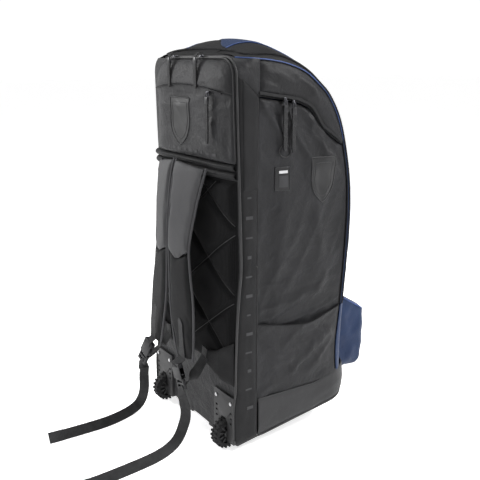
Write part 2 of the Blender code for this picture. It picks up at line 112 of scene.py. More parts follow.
# %% [markdown]
# The side panel's front and top edge is one long curve, and so is the mouth of its zipped pocket.
# A Catmull-Rom curve goes through a few chosen points and stays smooth, which suits a sewn edge.

# %% Curves that the panels share
SIDE_EDGE = [
    (0.2940, 0.1160, 0.0520), (0.2900, 0.2000, 0.0640), (0.3010, 0.3030, 0.0500),
    (0.3110, 0.4200, 0.0500), (0.3160, 0.5200, 0.0480), (0.3130, 0.6040, 0.0460),
    (0.2980, 0.6870, 0.0420), (0.2790, 0.7510, 0.0360), (0.2500, 0.8010, 0.0290),
    (0.2200, 0.8290, 0.0250), (0.1850, 0.8540, 0.0300), (0.1380, 0.8710, 0.0430),
    (0.0860, 0.8800, 0.0480), (0.0120, 0.8855, 0.0120),
]
ZIP_LINE = [(0.0580, 0.8060), (0.1050, 0.7990), (0.1530, 0.7920), (0.1810, 0.7830), (0.2050, 0.7680),
            (0.2320, 0.7300), (0.2540, 0.7145), (0.2850, 0.6940)]
BACK_BOW = [(-0.0050, 0.026), (-0.0050, 0.105), (0.0010, 0.145), (0.0030, 0.226), (0.0060, 0.296),
            (0.0110, 0.364), (0.0165, 0.425), (0.0160, 0.488), (0.0110, 0.652), (0.0090, 0.705),
            (0.0050, 0.850), (0.0050, 0.890)]


def curve_through(points, per_span):
    """Points along a smooth curve through the given ones."""
    ends = [points[0]] + list(points) + [points[-1]]
    result = []
    for i in range(1, len(ends) - 2):
        before, here, there, after = ends[i - 1:i + 3]
        for step in range(per_span):
            t = step / per_span
            result.append(tuple(
                0.5 * (2 * b + (c - a) * t + (2 * a - 5 * b + 4 * c - d) * t * t
                       + (3 * b - a - 3 * c + d) * t ** 3)
                for a, b, c, d in zip(before, here, there, after)))
    result.append(tuple(points[-1]))
    return result


class Line:
    """A smooth curve that can be read at any share of its length."""

    def __init__(self, points, per_span=8):
        self.points = [Vector(p) for p in curve_through(points, per_span)]
        self.reach = [0.0]
        for a, b in zip(self.points, self.points[1:]):
            self.reach.append(self.reach[-1] + (b - a).length)
        self.length = self.reach[-1]

    def __call__(self, share):
        goal = min(max(share, 0.0), 1.0) * self.length
        for i in range(1, len(self.reach)):
            if self.reach[i] >= goal:
                span = self.reach[i] - self.reach[i - 1] or 1.0
                return self.points[i - 1].lerp(self.points[i], (goal - self.reach[i - 1]) / span)
        return self.points[-1].copy()

    def share_at(self, index, value):
        """The share of the length where a coordinate first passes a value."""
        for i in range(1, len(self.points)):
            low, high = self.points[i - 1][index], self.points[i][index]
            if (low - value) * (high - value) <= 0.0 and low != high:
                t = (value - low) / (high - low)
                return mix(self.reach[i - 1], self.reach[i], t) / self.length
        return 1.0

    def part(self, start, end, t):
        return self(mix(start, end, t))


EDGE = Line([(depth, height) for depth, height, _ in SIDE_EDGE])
RISES = [point[2] for point in curve_through(SIDE_EDGE, 8)]
BOW = Line(BACK_BOW)
ZIP = Line(ZIP_LINE)


def rise_at(share):
    """How high the domed front stands off the side edge at a share of its length."""
    goal = min(max(share, 0.0), 1.0) * EDGE.length
    for i in range(1, len(EDGE.reach)):
        if EDGE.reach[i] >= goal:
            span = EDGE.reach[i] - EDGE.reach[i - 1] or 1.0
            return mix(RISES[i - 1], RISES[i], (goal - EDGE.reach[i - 1]) / span)
    return RISES[-1]


def bow(z):
    """How far in front of the back plane the back's side edge runs at a height."""
    return BOW(BOW.share_at(1, min(max(z, 0.0265), 0.889))).x if z > 0.0270 else BACK_BOW[0][0]


def left_set(x, z):
    """The left upper edge sits a little further forward, because the load leans that way."""
    return 0.0110 * smooth((-x - 0.090) / 0.090) * smooth((z - 0.600) / 0.050)


print("side edge", round(EDGE.length, 3), "m, pocket zip", round(ZIP.length, 3), "m")

# %% [markdown]
# ## Camera and room
# The bag is seen from its back right, a little above its top. A long lens keeps the upright edges
# nearly parallel. The room is a pale floor with soft light from all round and four broad lamps: a key
# light from the front right, and weaker ones above, behind and in front. The side light is what lets
# black cloth show its folds.

# %% Camera, floor and lights
def deselect():
    bpy.ops.object.select_all(action="DESELECT")


def make_active(obj):
    deselect()
    obj.select_set(True)
    bpy.context.view_layer.objects.active = obj
    return obj


def linear(code):
    """An sRGB hex colour as linear red, green, blue and alpha."""
    channels = [int(code[i:i + 2], 16) / 255.0 for i in (0, 2, 4)]
    light = [c / 12.92 if c <= 0.04045 else ((c + 0.055) / 1.055) ** 2.4 for c in channels]
    return (*light, 1.0)


camera_data = bpy.data.cameras.new("camera")
camera_data.lens = 55.13
camera_data.sensor_width = 36.0
camera_data.shift_y = -0.0604
camera = bpy.data.objects.new("camera", camera_data)
camera.location = (1.4805, BACK - 0.8263, 0.8819)
camera.rotation_euler = (math.radians(90.0 - 11.685), 0.0, math.radians(57.03))
bpy.context.scene.collection.objects.link(camera)
bpy.context.scene.camera = camera

deselect()
bpy.ops.mesh.primitive_plane_add(size=60.0)
floor = bpy.context.object
floor.name = "studio_floor"


def area_light(name, place, target, size, power):
    deselect()
    bpy.ops.object.light_add(type="AREA", location=place)
    lamp = bpy.context.object
    lamp.name = name
    lamp.data.shape = "DISK"
    lamp.data.size = size
    lamp.data.energy = power
    lamp.rotation_euler = (Vector(target) - Vector(place)).to_track_quat("-Z", "Y").to_euler()


area_light("key_light", (1.7, 1.5, 2.3), (0.0, 0.1, 0.5), 0.8, 95.0)
area_light("shoulder_light", (-0.3, -0.5, 3.0), (0.0, 0.0, 0.8), 0.8, 46.0)
area_light("back_light", (-2.0, -1.7, 1.5), (0.0, -0.1, 0.5), 0.8, 46.0)
area_light("front_light", (-0.4, 2.6, 1.4), (0.0, 0.0, 0.5), 1.4, 20.0)
world = bpy.data.worlds.new("studio_world")
world.use_nodes = True
sky_way = world.node_tree.nodes.new("ShaderNodeTexCoord")
sky_parts = world.node_tree.nodes.new("ShaderNodeSeparateXYZ")
sky_ramp = world.node_tree.nodes.new("ShaderNodeValToRGB")
sky_ramp.color_ramp.elements[0].position = 0.12
sky_ramp.color_ramp.elements[0].color = (1.0, 1.0, 1.0, 1.0)
sky_ramp.color_ramp.elements[1].position = 0.34
sky_ramp.color_ramp.elements[1].color = (0.24, 0.24, 0.24, 1.0)
world.node_tree.links.new(sky_way.outputs["Generated"], sky_parts.inputs[0])
world.node_tree.links.new(sky_parts.outputs["Z"], sky_ramp.inputs["Fac"])
world.node_tree.links.new(sky_ramp.outputs["Color"], world.node_tree.nodes["Background"].inputs["Color"])
world.node_tree.nodes["Background"].inputs["Strength"].default_value = 1.05
bpy.context.scene.world = world
bpy.context.scene.view_settings.view_transform = "Standard"
print("camera at", tuple(round(c, 2) for c in camera.location))


# %% [markdown]
# ## Finishes
# Each finish starts from a real material: woven polyester, coated polyester, air mesh, webbing,
# moulded plastic, rubber and metal. One small function adds a node, sets it up and links it. Dark
# cloth is only dark if it mirrors little, so each cloth has a low specular level of its own.
# Cloth is drawn from a UV map in metres, so that a thread has a real size on every panel.

# %% Node helper and the woven cloth
def new_material(name, code, roughness, gloss, metallic=0.0):
    material = bpy.data.materials.new(name)
    material.use_nodes = True
    shader = material.node_tree.nodes["Principled BSDF"]
    shader.inputs["Base Color"].default_value = linear(code)
    shader.inputs["Roughness"].default_value = roughness
    shader.inputs["Metallic"].default_value = metallic
    shader.inputs["Specular IOR Level"].default_value = gloss
    return material, shader


def add_node(material, kind, settings=None, links=None):
    """Add one node, set its values and link sockets into its inputs."""
    node = material.node_tree.nodes.new(kind)
    for key, value in (settings or {}).items():
        if isinstance(key, str) and hasattr(node, key):
            setattr(node, key, value)
        else:
            node.inputs[key].default_value = value
    for key, socket in (links or {}).items():
        material.node_tree.links.new(socket, node.inputs[key])
    return node


def link(material, socket, target):
    material.node_tree.links.new(socket, target)


def two_tone(material, shader, factor, dark, light):
    """Colour that drifts between two near tones as a pattern rises and falls."""
    ramp = add_node(material, "ShaderNodeValToRGB", None, {"Fac": factor})
    ramp.color_ramp.elements[0].position = 0.25
    ramp.color_ramp.elements[0].color = linear(dark)
    ramp.color_ramp.elements[1].position = 0.75
    ramp.color_ramp.elements[1].color = linear(light)
    link(material, ramp.outputs["Color"], shader.inputs["Base Color"])


def woven(name, dark, light, thread, roughness, weave_depth, crease_depth, gloss):
    """Plain-weave cloth: warp and weft from the UV map, soft creases from a broad noise."""
    material, shader = new_material(name, dark, roughness, gloss)
    uv = add_node(material, "ShaderNodeUVMap")
    spread = add_node(material, "ShaderNodeVectorMath", {"operation": "SCALE", "Scale": math.pi / thread},
                      {0: uv.outputs["UV"]})
    parts = add_node(material, "ShaderNodeSeparateXYZ", None, {0: spread.outputs[0]})
    warp = add_node(material, "ShaderNodeMath", {"operation": "SINE"}, {0: parts.outputs["X"]})
    weft = add_node(material, "ShaderNodeMath", {"operation": "SINE"}, {0: parts.outputs["Y"]})
    over = add_node(material, "ShaderNodeMath", {"operation": "MULTIPLY"},
                    {0: warp.outputs[0], 1: weft.outputs[0]})
    place = add_node(material, "ShaderNodeTexCoord")
    crease = add_node(material, "ShaderNodeTexNoise",
                      {"Scale": 26.0, "Detail": 5.0, "Roughness": 0.6, "Distortion": 0.4},
                      {"Vector": place.outputs["Object"]})
    fold_bump = add_node(material, "ShaderNodeBump", {"Strength": 1.0, "Distance": crease_depth},
                         {"Height": crease.outputs["Fac"]})
    thread_bump = add_node(material, "ShaderNodeBump", {"Strength": 1.0, "Distance": weave_depth},
                           {"Height": over.outputs[0], "Normal": fold_bump.outputs[0]})
    link(material, thread_bump.outputs[0], shader.inputs["Normal"])
    drift = add_node(material, "ShaderNodeTexNoise", {"Scale": 9.0, "Detail": 6.0, "Roughness": 0.65},
                     {"Vector": place.outputs["Object"]})
    two_tone(material, shader, drift.outputs["Fac"], dark, light)
    return material


# Thread spacing of a heavy polyester is about 0.5 mm. It is drawn at 1.2 mm or more, so that it shows.
body_cloth = woven("polyester_body", "1e1e1f", "28282a", 0.0012, 0.46, 0.00008, 0.0046, 0.13)
gusset_cloth = woven("polyester_gusset", "1b1b1c", "242425", 0.0012, 0.55, 0.00008, 0.0014, 0.09)
pocket_cloth = woven("polyester_pocket", "202021", "29292b", 0.0012, 0.46, 0.00008, 0.0046, 0.13)
base_cloth = woven("coated_polyester_base", "2d2d2e", "363637", 0.0016, 0.50, 0.00012, 0.0016, 0.13)
strap_cloth = woven("smooth_strap_cloth", "3e3e40", "484849", 0.0012, 0.55, 0.00006, 0.0012, 0.13)
strap_rough_cloth = woven("rough_strap_cloth", "1a1a1b", "232324", 0.0014, 0.65, 0.00014, 0.0012, 0.09)
navy_cloth = woven("navy_polyester", "192640", "22314e", 0.0012, 0.50, 0.00008, 0.0022, 0.15)
binding_cloth = woven("woven_binding", "1a1a1b", "232324", 0.0016, 0.65, 0.00010, 0.0003, 0.12)
light_binding = woven("light_strap_binding", "3d3d3f", "49494b", 0.0016, 0.60, 0.00010, 0.0003, 0.15)
print("cloth finishes ready")


# %% [markdown]
# Webbing is woven in ribs that run across the strap. Air mesh is knitted with small round holes. Both
# are patterns of known pitch: ribs every 1.6 mm, holes every 3 mm.

# %% Webbing and mesh
def ribbed(name, dark, light, pitch, depth):
    material, shader = new_material(name, dark, 0.60, 0.14)
    uv = add_node(material, "ShaderNodeUVMap")
    spread = add_node(material, "ShaderNodeVectorMath", {"operation": "SCALE", "Scale": math.pi / pitch},
                      {0: uv.outputs["UV"]})
    parts = add_node(material, "ShaderNodeSeparateXYZ", None, {0: spread.outputs[0]})
    slant = add_node(material, "ShaderNodeMath", {"operation": "SINE"}, {0: parts.outputs["X"]})
    lean = add_node(material, "ShaderNodeMath", {"operation": "MULTIPLY_ADD", 1: 1.1},
                    {0: slant.outputs[0], 2: parts.outputs["Y"]})
    rib = add_node(material, "ShaderNodeMath", {"operation": "SINE"}, {0: lean.outputs[0]})
    bump = add_node(material, "ShaderNodeBump", {"Strength": 1.0, "Distance": depth},
                    {"Height": rib.outputs[0]})
    link(material, bump.outputs[0], shader.inputs["Normal"])
    place = add_node(material, "ShaderNodeTexCoord")
    drift = add_node(material, "ShaderNodeTexNoise", {"Scale": 60.0, "Detail": 4.0},
                     {"Vector": place.outputs["Object"]})
    two_tone(material, shader, drift.outputs["Fac"], dark, light)
    return material


def knitted(name, dark, light, pitch):
    material, shader = new_material(name, dark, 0.85, 0.08)
    place = add_node(material, "ShaderNodeTexCoord")
    holes = add_node(material, "ShaderNodeTexVoronoi", {"Scale": 1.0 / pitch, "Randomness": 0.15},
                     {"Vector": place.outputs["Object"]})
    bump = add_node(material, "ShaderNodeBump", {"Strength": 0.8, "Distance": 0.0006, "invert": True},
                    {"Height": holes.outputs["Distance"]})
    link(material, bump.outputs[0], shader.inputs["Normal"])
    # The colour follows the bump's pattern: the knit's sunken parts are painted darker, a painted shade in
    # its hollows.
    two_tone(material, shader, holes.outputs["Distance"], light, dark)
    return material


webbing_cloth = ribbed("ribbed_webbing", "29292a", "363637", 0.0016, 0.0003)
pull_cloth = ribbed("ribbed_pull_tape", "232324", "303031", 0.0020, 0.0004)
tape_cloth = ribbed("zip_tape", "19191b", "232325", 0.0012, 0.0002)
mesh_cloth = knitted("air_mesh", "0b0b0c", "161617", 0.0030)
print("webbing and mesh ready")


# %% [markdown]
# Piping is a cord wrapped in thin glossy cloth, so it catches a narrow highlight. Moulded plastic has
# a fine spark-eroded grain. Rubber is duller and a little dusty. Coated zip metal is dark and smooth.

# %% Piping, plastics, rubber and metals
def grained(name, dark, light, grain, depth, roughness, metallic=0.0):
    """A hard finish with a fine grain of a stated size."""
    material, shader = new_material(name, dark, roughness, 0.5 if metallic else 0.26, metallic)
    place = add_node(material, "ShaderNodeTexCoord")
    speck = add_node(material, "ShaderNodeTexNoise", {"Scale": 1.0 / grain, "Detail": 3.0},
                     {"Vector": place.outputs["Object"]})
    bump = add_node(material, "ShaderNodeBump", {"Strength": 0.6, "Distance": depth},
                    {"Height": speck.outputs["Fac"]})
    link(material, bump.outputs[0], shader.inputs["Normal"])
    drift = add_node(material, "ShaderNodeTexNoise", {"Scale": 45.0, "Detail": 5.0},
                     {"Vector": place.outputs["Object"]})
    two_tone(material, shader, drift.outputs["Fac"], dark, light)
    worn = add_node(material, "ShaderNodeMapRange",
                    {"To Min": roughness - 0.06, "To Max": roughness + 0.08},
                    {"Value": drift.outputs["Fac"]})
    link(material, worn.outputs["Result"], shader.inputs["Roughness"])
    return material


black_piping = grained("black_piping", "262627", "333334", 0.0012, 0.0001, 0.45)
blue_piping = grained("light_blue_piping", "2c3d68", "3b4f80", 0.0012, 0.0001, 0.45)
bracket_plastic = grained("moulded_bracket_plastic", "2b2b2c", "343435", 0.0012, 0.00015, 0.50)
hub_plastic = grained("moulded_hub_plastic", "29292a", "363637", 0.0012, 0.00015, 0.48)
buckle_plastic = grained("acetal_buckle_plastic", "19191b", "232325", 0.0010, 0.00008, 0.38)
tyre_rubber = grained("moulded_tyre_rubber", "141415", "1f1f20", 0.0015, 0.0002, 0.72)
rivet_steel = grained("plated_rivet_steel", "a9a9ab", "c4c4c6", 0.0010, 0.00003, 0.28, 1.0)
axle_steel = grained("turned_axle_steel", "8d8d90", "a2a2a5", 0.0008, 0.00003, 0.30, 1.0)
zip_metal = grained("gunmetal_zip", "3c3c3f", "56565a", 0.0008, 0.00003, 0.30, 1.0)
emboss_film = grained("embossed_film", "1b1b1c", "232324", 0.0014, 0.00005, 0.36)
badge_film = grained("grey_badge_film", "2b2b2d", "333335", 0.0014, 0.00005, 0.50)
bar_film = grained("bright_label_film", "a8a8aa", "bcbcbe", 0.0014, 0.00005, 0.45)
thread_film = grained("sewing_thread", "29292a", "363637", 0.0008, 0.00005, 0.60)
floor_paint = grained("matt_floor_paint", "f4f4f4", "f8f8f8", 0.0100, 0.00005, 0.80)
floor_shader = floor_paint.node_tree.nodes["Principled BSDF"]
floor_shader.inputs["Emission Color"].default_value = (1.0, 1.0, 1.0, 1.0)
floor_shader.inputs["Emission Strength"].default_value = 0.71
floor.data.materials.append(floor_paint)
print("hard finishes ready")


# %% [markdown]
# ## Ways of making a panel
# Most of the bag is sewn from flat panels. A grid primitive is the natural start: it has even faces
# and a UV map. Each point is then carried to its place on the bag, the UV map is turned into metres,
# and Solidify and Subdivision give it a real thickness and a soft surface.

# %% Panel helper
def apply_all(obj):
    make_active(obj)
    for modifier in list(obj.modifiers):
        bpy.ops.object.modifier_apply(modifier=modifier.name)
    return obj


def soften(obj):
    """One round of subdivision, to make a folded surface soft."""
    soft = obj.modifiers.new("soft", "SUBSURF")
    soft.levels = 1
    soft.render_levels = 1


def joined(pieces, name):
    deselect()
    for piece in pieces:
        piece.select_set(True)
    bpy.context.view_layer.objects.active = pieces[0]
    bpy.ops.object.join()
    whole = bpy.context.object
    whole.name = name
    whole.data.name = name
    return whole


def shade(obj, angle=None):
    make_active(obj)
    if angle is None:
        bpy.ops.object.shade_smooth()
    else:
        bpy.ops.object.shade_smooth_by_angle(angle=math.radians(angle))
    return obj


def uv_in_metres(obj, columns, rows):
    """Turn the grid's UV map into metres along its own rows and columns."""
    points = [v.co for v in obj.data.vertices]
    across = columns + 1
    along_u = [0.0] * len(points)
    along_v = [0.0] * len(points)
    for j in range(rows + 1):
        for i in range(1, across):
            k = j * across + i
            along_u[k] = along_u[k - 1] + (points[k] - points[k - 1]).length
    for j in range(1, rows + 1):
        for i in range(across):
            k = j * across + i
            along_v[k] = along_v[k - across] + (points[k] - points[k - across]).length
    layer = obj.data.uv_layers.active.data
    for loop in obj.data.loops:
        layer[loop.index].uv = (along_u[loop.vertex_index], along_v[loop.vertex_index])


def panel(name, columns, rows, place, material, thickness=0.0015):
    """A sewn panel: a grid whose points go where place(u, v) says. One with no thickness is a film."""
    deselect()
    bpy.ops.mesh.primitive_grid_add(x_subdivisions=columns, y_subdivisions=rows, size=1.0)
    obj = bpy.context.object
    obj.name = name
    obj.data.name = name
    for vertex in obj.data.vertices:
        vertex.co = Vector(place(vertex.co.x + 0.5, vertex.co.y + 0.5))
    uv_in_metres(obj, columns, rows)
    if thickness:
        solid = obj.modifiers.new("thickness", "SOLIDIFY")
        solid.thickness = thickness
        solid.offset = -1.0
        soften(obj)
    apply_all(obj)
    obj.data.materials.append(material)
    return shade(obj)


def mirrored(obj, name):
    """A copy on the other side of the bag, with its own mesh and its faces turned out again."""
    make_active(obj)
    bpy.ops.object.duplicate()
    twin = bpy.context.object
    twin.name = name
    twin.data.name = name
    twin.data.transform(Matrix.Scale(-1.0, 4, (1.0, 0.0, 0.0)))
    make_active(twin)
    bpy.ops.object.mode_set(mode="EDIT")
    bpy.ops.mesh.select_all(action="SELECT")
    bpy.ops.mesh.flip_normals()
    bpy.ops.object.mode_set(mode="OBJECT")
    return twin


def both_sides(make, name, body="bag", replaced=None):
    """Make the right-hand piece, mirror it to the left, and let both ride."""
    right = make(name + "_right")
    left = mirrored(right, name + "_left")
    for obj, (side, _) in zip((right, left), SIDES):
        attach(obj, body if body in frame["bodies"] else body + "_" + side)
        if replaced:
            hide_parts(*[node + "_" + side for node in replaced])
    return right, left


def coons(bottom, top, left, right):
    """Fill in a four-sided patch from its border curves."""
    def place(u, v):
        low, high, near, far = bottom(u), top(u), left(v), right(v)
        sides = near.lerp(far, u) + low.lerp(high, v)
        corners = bottom(0).lerp(bottom(1), u).lerp(top(0).lerp(top(1), u), v)
        return sides - corners
    return place


def border(u, v, width, height, reach):
    """0 on the panel's border, rising to 1 at reach metres inside it."""
    gap = min(u * width, (1.0 - u) * width, v * height, (1.0 - v) * height)
    return smooth(gap / reach)


def segment(a, b):
    a, b = Vector(a), Vector(b)
    return lambda t: a.lerp(b, t)


print("panel helpers ready")


# %% [markdown]
# Piping, binding and cords are curves with a round bevel, turned into meshes at the end so that their
# place is in the mesh. Flat straps and zip tapes are swept ribbons with a UV map that
# runs along them, which the webbing pattern needs.

# %% Tube and ribbon helpers
def tube(name, points, radius, material, sides=3, cyclic=False):
    """A round cord along points, with closed ends."""
    deselect()
    bpy.ops.curve.primitive_nurbs_path_add()
    obj = bpy.context.object
    obj.name = name
    obj.location = (0.0, 0.0, 0.0)
    curve = obj.data
    curve.splines.clear()
    spline = curve.splines.new("POLY")
    spline.points.add(len(points) - 1)
    for point, place in zip(spline.points, points):
        point.co = (*place, 1.0)
    spline.use_cyclic_u = cyclic
    curve.dimensions = "3D"
    curve.bevel_depth = radius
    curve.bevel_resolution = sides
    curve.use_fill_caps = not cyclic
    make_active(obj)
    bpy.ops.object.convert(target="MESH")
    obj = bpy.context.object
    obj.data.name = name
    if not obj.data.uv_layers:
        obj.data.uv_layers.new(name="UVMap")
    obj.data.materials.clear()
    obj.data.materials.append(material)
    return shade(obj, 50)


def ribbon(name, points, widths, ups, thickness, material):
    """A flat strap: a closed loft along points, ups[i] giving the way its face looks."""
    across = 4
    deselect()
    bpy.ops.mesh.primitive_grid_add(x_subdivisions=across, y_subdivisions=len(points) - 1, size=1.0)
    obj = bpy.context.object
    obj.name = name
    obj.data.name = name
    for vertex in obj.data.vertices:
        i = min(int(round((vertex.co.y + 0.5) * (len(points) - 1))), len(points) - 1)
        share = vertex.co.x * 2.0
        before = Vector(points[max(i - 1, 0)])
        after = Vector(points[min(i + 1, len(points) - 1)])
        along = (after - before).normalized()
        up = Vector(ups[i])
        up = (up - along * up.dot(along)).normalized()
        side = along.cross(up)
        vertex.co = Vector(points[i]) + side * (share * 0.5 * widths[i]) + up * (0.5 * thickness)
    uv_in_metres(obj, across, len(points) - 1)
    solid = obj.modifiers.new("thickness", "SOLIDIFY")
    solid.thickness = thickness
    solid.offset = -1.0
    solid.use_even_offset = True
    apply_all(obj)
    obj.data.materials.append(material)
    return shade(obj, 40)


print("tube and ribbon helpers ready")

# %% [markdown]
# ## Free webbing tails
# The two long ends of webbing fall from the buckles' ladder bars, bend where they reach the floor and
# lie along it. Webbing is flat, so its face turns from upright to level on the way. They come first,
# because their length and place are fixed by the frame. The points below are its tails' centre lines.

# %% Strap tails
TAIL_LINES = {
    "right": [
        (0.0975, -0.0882, 0.1270), (0.1030, -0.0872, 0.1180), (0.1055, -0.0864, 0.1080),
        (0.1060, -0.0830, 0.0920), (0.1035, -0.0832, 0.0710), (0.0995, -0.0863, 0.0535),
        (0.0960, -0.0918, 0.0345), (0.0950, -0.1010, 0.0195), (0.0995, -0.1160, 0.0120),
        (0.1110, -0.1400, 0.0102), (0.1220, -0.1720, 0.0102), (0.1285, -0.2060, 0.0102),
        (0.1335, -0.2400, 0.0102), (0.1375, -0.2720, 0.0102), (0.1410, -0.3030, 0.0102),
        (0.1430, -0.3340, 0.0102), (0.1440, -0.3640, 0.0102),
    ],
    "left": [
        (-0.0770, -0.0975, 0.1340), (-0.0820, -0.0970, 0.1180), (-0.0840, -0.0960, 0.0980),
        (-0.0875, -0.0950, 0.0750), (-0.0960, -0.0955, 0.0520), (-0.1070, -0.0995, 0.0300),
        (-0.1130, -0.1110, 0.0160), (-0.1080, -0.1350, 0.0106), (-0.0980, -0.1660, 0.0102),
        (-0.0910, -0.2010, 0.0102), (-0.0890, -0.2340, 0.0102), (-0.0880, -0.2680, 0.0102),
        (-0.0880, -0.3060, 0.0102), (-0.0890, -0.3420, 0.0102),
    ],
}
TAIL_FACE = {"right": Vector((0.45, -0.90, 0.0)), "left": Vector((1.00, 0.0, 0.0))}
FLOOR_FACE = Vector((0.75, -0.20, 0.66))

for side, _ in SIDES:
    route = [(x, at(depth), height) for x, depth, height in curve_through(TAIL_LINES[side], 2)]
    ups = [TAIL_FACE[side].lerp(FLOOR_FACE, min(max((0.1200 - p[2]) / 0.1000, 0.0), 1.0)) for p in route]
    tail = ribbon("webbing_tail_" + side, route, [WEBBING] * len(route), ups, WEBBING_THICK,
                  webbing_cloth)
    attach(tail, "bag")
    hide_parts("strap_tail_" + side)
    last = [Vector(p) for p in route[-3:]]
    hem = ribbon("tail_hem_" + side, last, [WEBBING + 0.0010] * 3, ups[-3:], WEBBING_THICK + 0.0016,
                 webbing_cloth)
    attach(hem, "bag")


# %% [markdown]
# ## Side panels
# Each side is sewn from five panels: a narrow gusset at the back edge, a corner piece above it, a top
# panel, the big zipped pocket and the open pocket under its hem. Where two panels meet, both dip
# inward by a few millimetres, and that groove is what makes a seam read as a seam. Kit bags also hang
# in soft folds. Those are made here with ridged noise, which gives long creases with a direction.

# %% Folds
def ridge(x, y, turn, stretch, size, seed):
    """Soft creases: noise stretched along a direction, sharpened near its zero."""
    c, s = math.cos(turn), math.sin(turn)
    p = Vector(((x * c + y * s) / (size * stretch), (y * c - x * s) / size, seed))
    return 1.0 - min(1.0, abs(noise.noise(p)) * 3.2)


def sag(x, y, seed):
    """The broad, slow swelling of cloth over what the bag holds."""
    return noise.noise(Vector((x * 7.0, y * 5.0, seed)))


def corner_in(d, z, radius=0.0400):
    """How far the side turns inward round the bag's top rear corner."""
    over = min(max(z - (BACK_TOP + 0.003 - radius), 0.0), radius)
    inward = radius - math.sqrt(max(radius ** 2 - over ** 2, 0.0))
    return min(inward, 0.034) * (1.0 - smooth((d - 0.002) / 0.046))


def side_surface(patch, width, height, depth_out, puff, folds, reach=0.010, groove=0.004):
    """Lift a flat patch of the side into cloth: grooved border, swelling middle and folds."""
    def place(u, v):
        flat = patch(u, v)
        edge = border(u, v, width, height, reach)
        middle = border(u, v, width, height, 0.35 * min(width, height))
        lift = depth_out - groove * (1.0 - edge) + puff * middle
        lift += edge * folds(flat.x, flat.y, middle)
        return (HALF + lift - corner_in(flat.x, flat.y), at(flat.x), flat.y)
    return place


def crease(x, y, place, turn, length, width):
    """One long soft crease: a ridge at a place, along a direction, fading at its ends."""
    c, s = math.cos(turn), math.sin(turn)
    along = ((x - place[0]) * c + (y - place[1]) * s) / length
    wander = 0.010 * noise.noise(Vector((x * 30, y * 30, 1)))
    across = ((y - place[1]) * c - (x - place[0]) * s + wander) / width
    return math.exp(-along * along) * math.exp(-across * across)


def main_folds(d, z, middle):
    fold = 0.0030 * ridge(d, z, 1.15, 4.5, 0.060, 3.1)
    fold += 0.0022 * ridge(d, z, -0.55, 3.5, 0.070, 8.4) * middle
    upper = smooth((z - 0.60) / 0.12)
    fold += 0.0060 * upper * ridge(d, z, 2.25, 4.0, 0.042, 1.7)
    low = smooth((0.42 - z) / 0.10)
    fold += 0.0036 * low * ridge(d, z, 0.15, 4.0, 0.035, 5.5)
    fold += 0.0055 * crease(d, z, (0.235, 0.690), 2.30, 0.060, 0.010)
    fold += 0.0050 * crease(d, z, (0.262, 0.655), 2.20, 0.070, 0.012)
    fold += 0.0045 * crease(d, z, (0.215, 0.560), 1.75, 0.110, 0.014)
    fold += 0.0040 * crease(d, z, (0.120, 0.470), 1.45, 0.120, 0.016)
    fold += 0.0045 * crease(d, z, (0.190, 0.350), 0.30, 0.080, 0.011)
    fold += 0.0040 * crease(d, z, (0.260, 0.400), 0.85, 0.070, 0.011)
    return fold - 0.0055 + 0.0050 * sag(d, z, 2.0)


def hem_folds(d, z, middle):
    fold = 0.0030 * ridge(d, z, 0.5, 3.5, 0.040, 6.3)
    fold += 0.0022 * ridge(d, z, -0.6, 3.0, 0.034, 2.9) * middle
    fold += 0.0040 * crease(d, z, (0.100, 0.230), -0.60, 0.060, 0.009)
    fold += 0.0040 * crease(d, z, (0.200, 0.200), 0.55, 0.070, 0.010)
    fold += 0.0035 * crease(d, z, (0.240, 0.245), -0.30, 0.050, 0.008)
    return fold - 0.0035 + 0.0030 * sag(d, z, 7.0)


def gusset_folds(d, z, middle):
    return 0.0012 * ridge(z, d, 0.05, 4.0, 0.030, 3.3) * middle - 0.0004


def top_folds(d, z, middle):
    fold = 0.0036 * ridge(d, z, -0.5, 3.0, 0.060, 4.6) * middle
    fold += 0.0035 * crease(d, z, (0.200, 0.815), -0.75, 0.050, 0.009)
    fold += 0.0030 * crease(d, z, (0.130, 0.840), -0.35, 0.060, 0.010)
    return fold - 0.0020 + 0.0030 * sag(d, z, 5.0)


# %% [markdown]
# The zipped pocket's panel runs from the side seam to the front edge. Its top border is the zip, and
# its bottom goes on down behind the open pocket's hem, so the mouth there looks into something real.

# %% Zipped pocket panel
SEAM = 0.0590
zip_end = EDGE.share_at(1, 0.6840)
HEM = Line([(0.0590, 0.2985), (0.1000, 0.2900), (0.1450, 0.2820), (0.1900, 0.2790), (0.2400, 0.2880),
            (0.2980, 0.3040)])


def front_border(low, high, inset):
    """The side's front edge between two heights, set back by inset."""
    start, end = EDGE.share_at(1, low), EDGE.share_at(1, high)

    def place(t):
        point = EDGE.part(start, end, t)
        return Vector((point.x - inset, point.y))
    return place


def zip_border(inset):
    return lambda t: ZIP(t) - Vector((0.3, 1.0)).normalized() * inset


upper_patch = coons(segment((SEAM, 0.262), (0.2935, 0.262)), zip_border(0.0030),
                    segment((SEAM, 0.262), (SEAM + 0.002, 0.803)), front_border(0.262, 0.684, 0.0015))
both_sides(
    lambda name: panel(name, 70, 130, side_surface(upper_patch, 0.235, 0.50, 0.0005, 0.0060, main_folds),
                       body_cloth),
    "zipped_pocket_panel", "bag", ["side_pocket"])
print("zipped pocket panels made")

# %% [markdown]
# The open pocket is a second layer. Its hem sags in the middle and stands a few millimetres off the
# panel behind, so a dark slit shows.

# %% Open pocket under its hem
hem_patch = coons(segment((SEAM, 0.1080), (0.2925, 0.1080)), lambda t: HEM(t),
                  segment((SEAM, 0.1080), (SEAM, 0.2985)), front_border(0.116, 0.303, 0.0015))
HEM_OUT = 0.0020


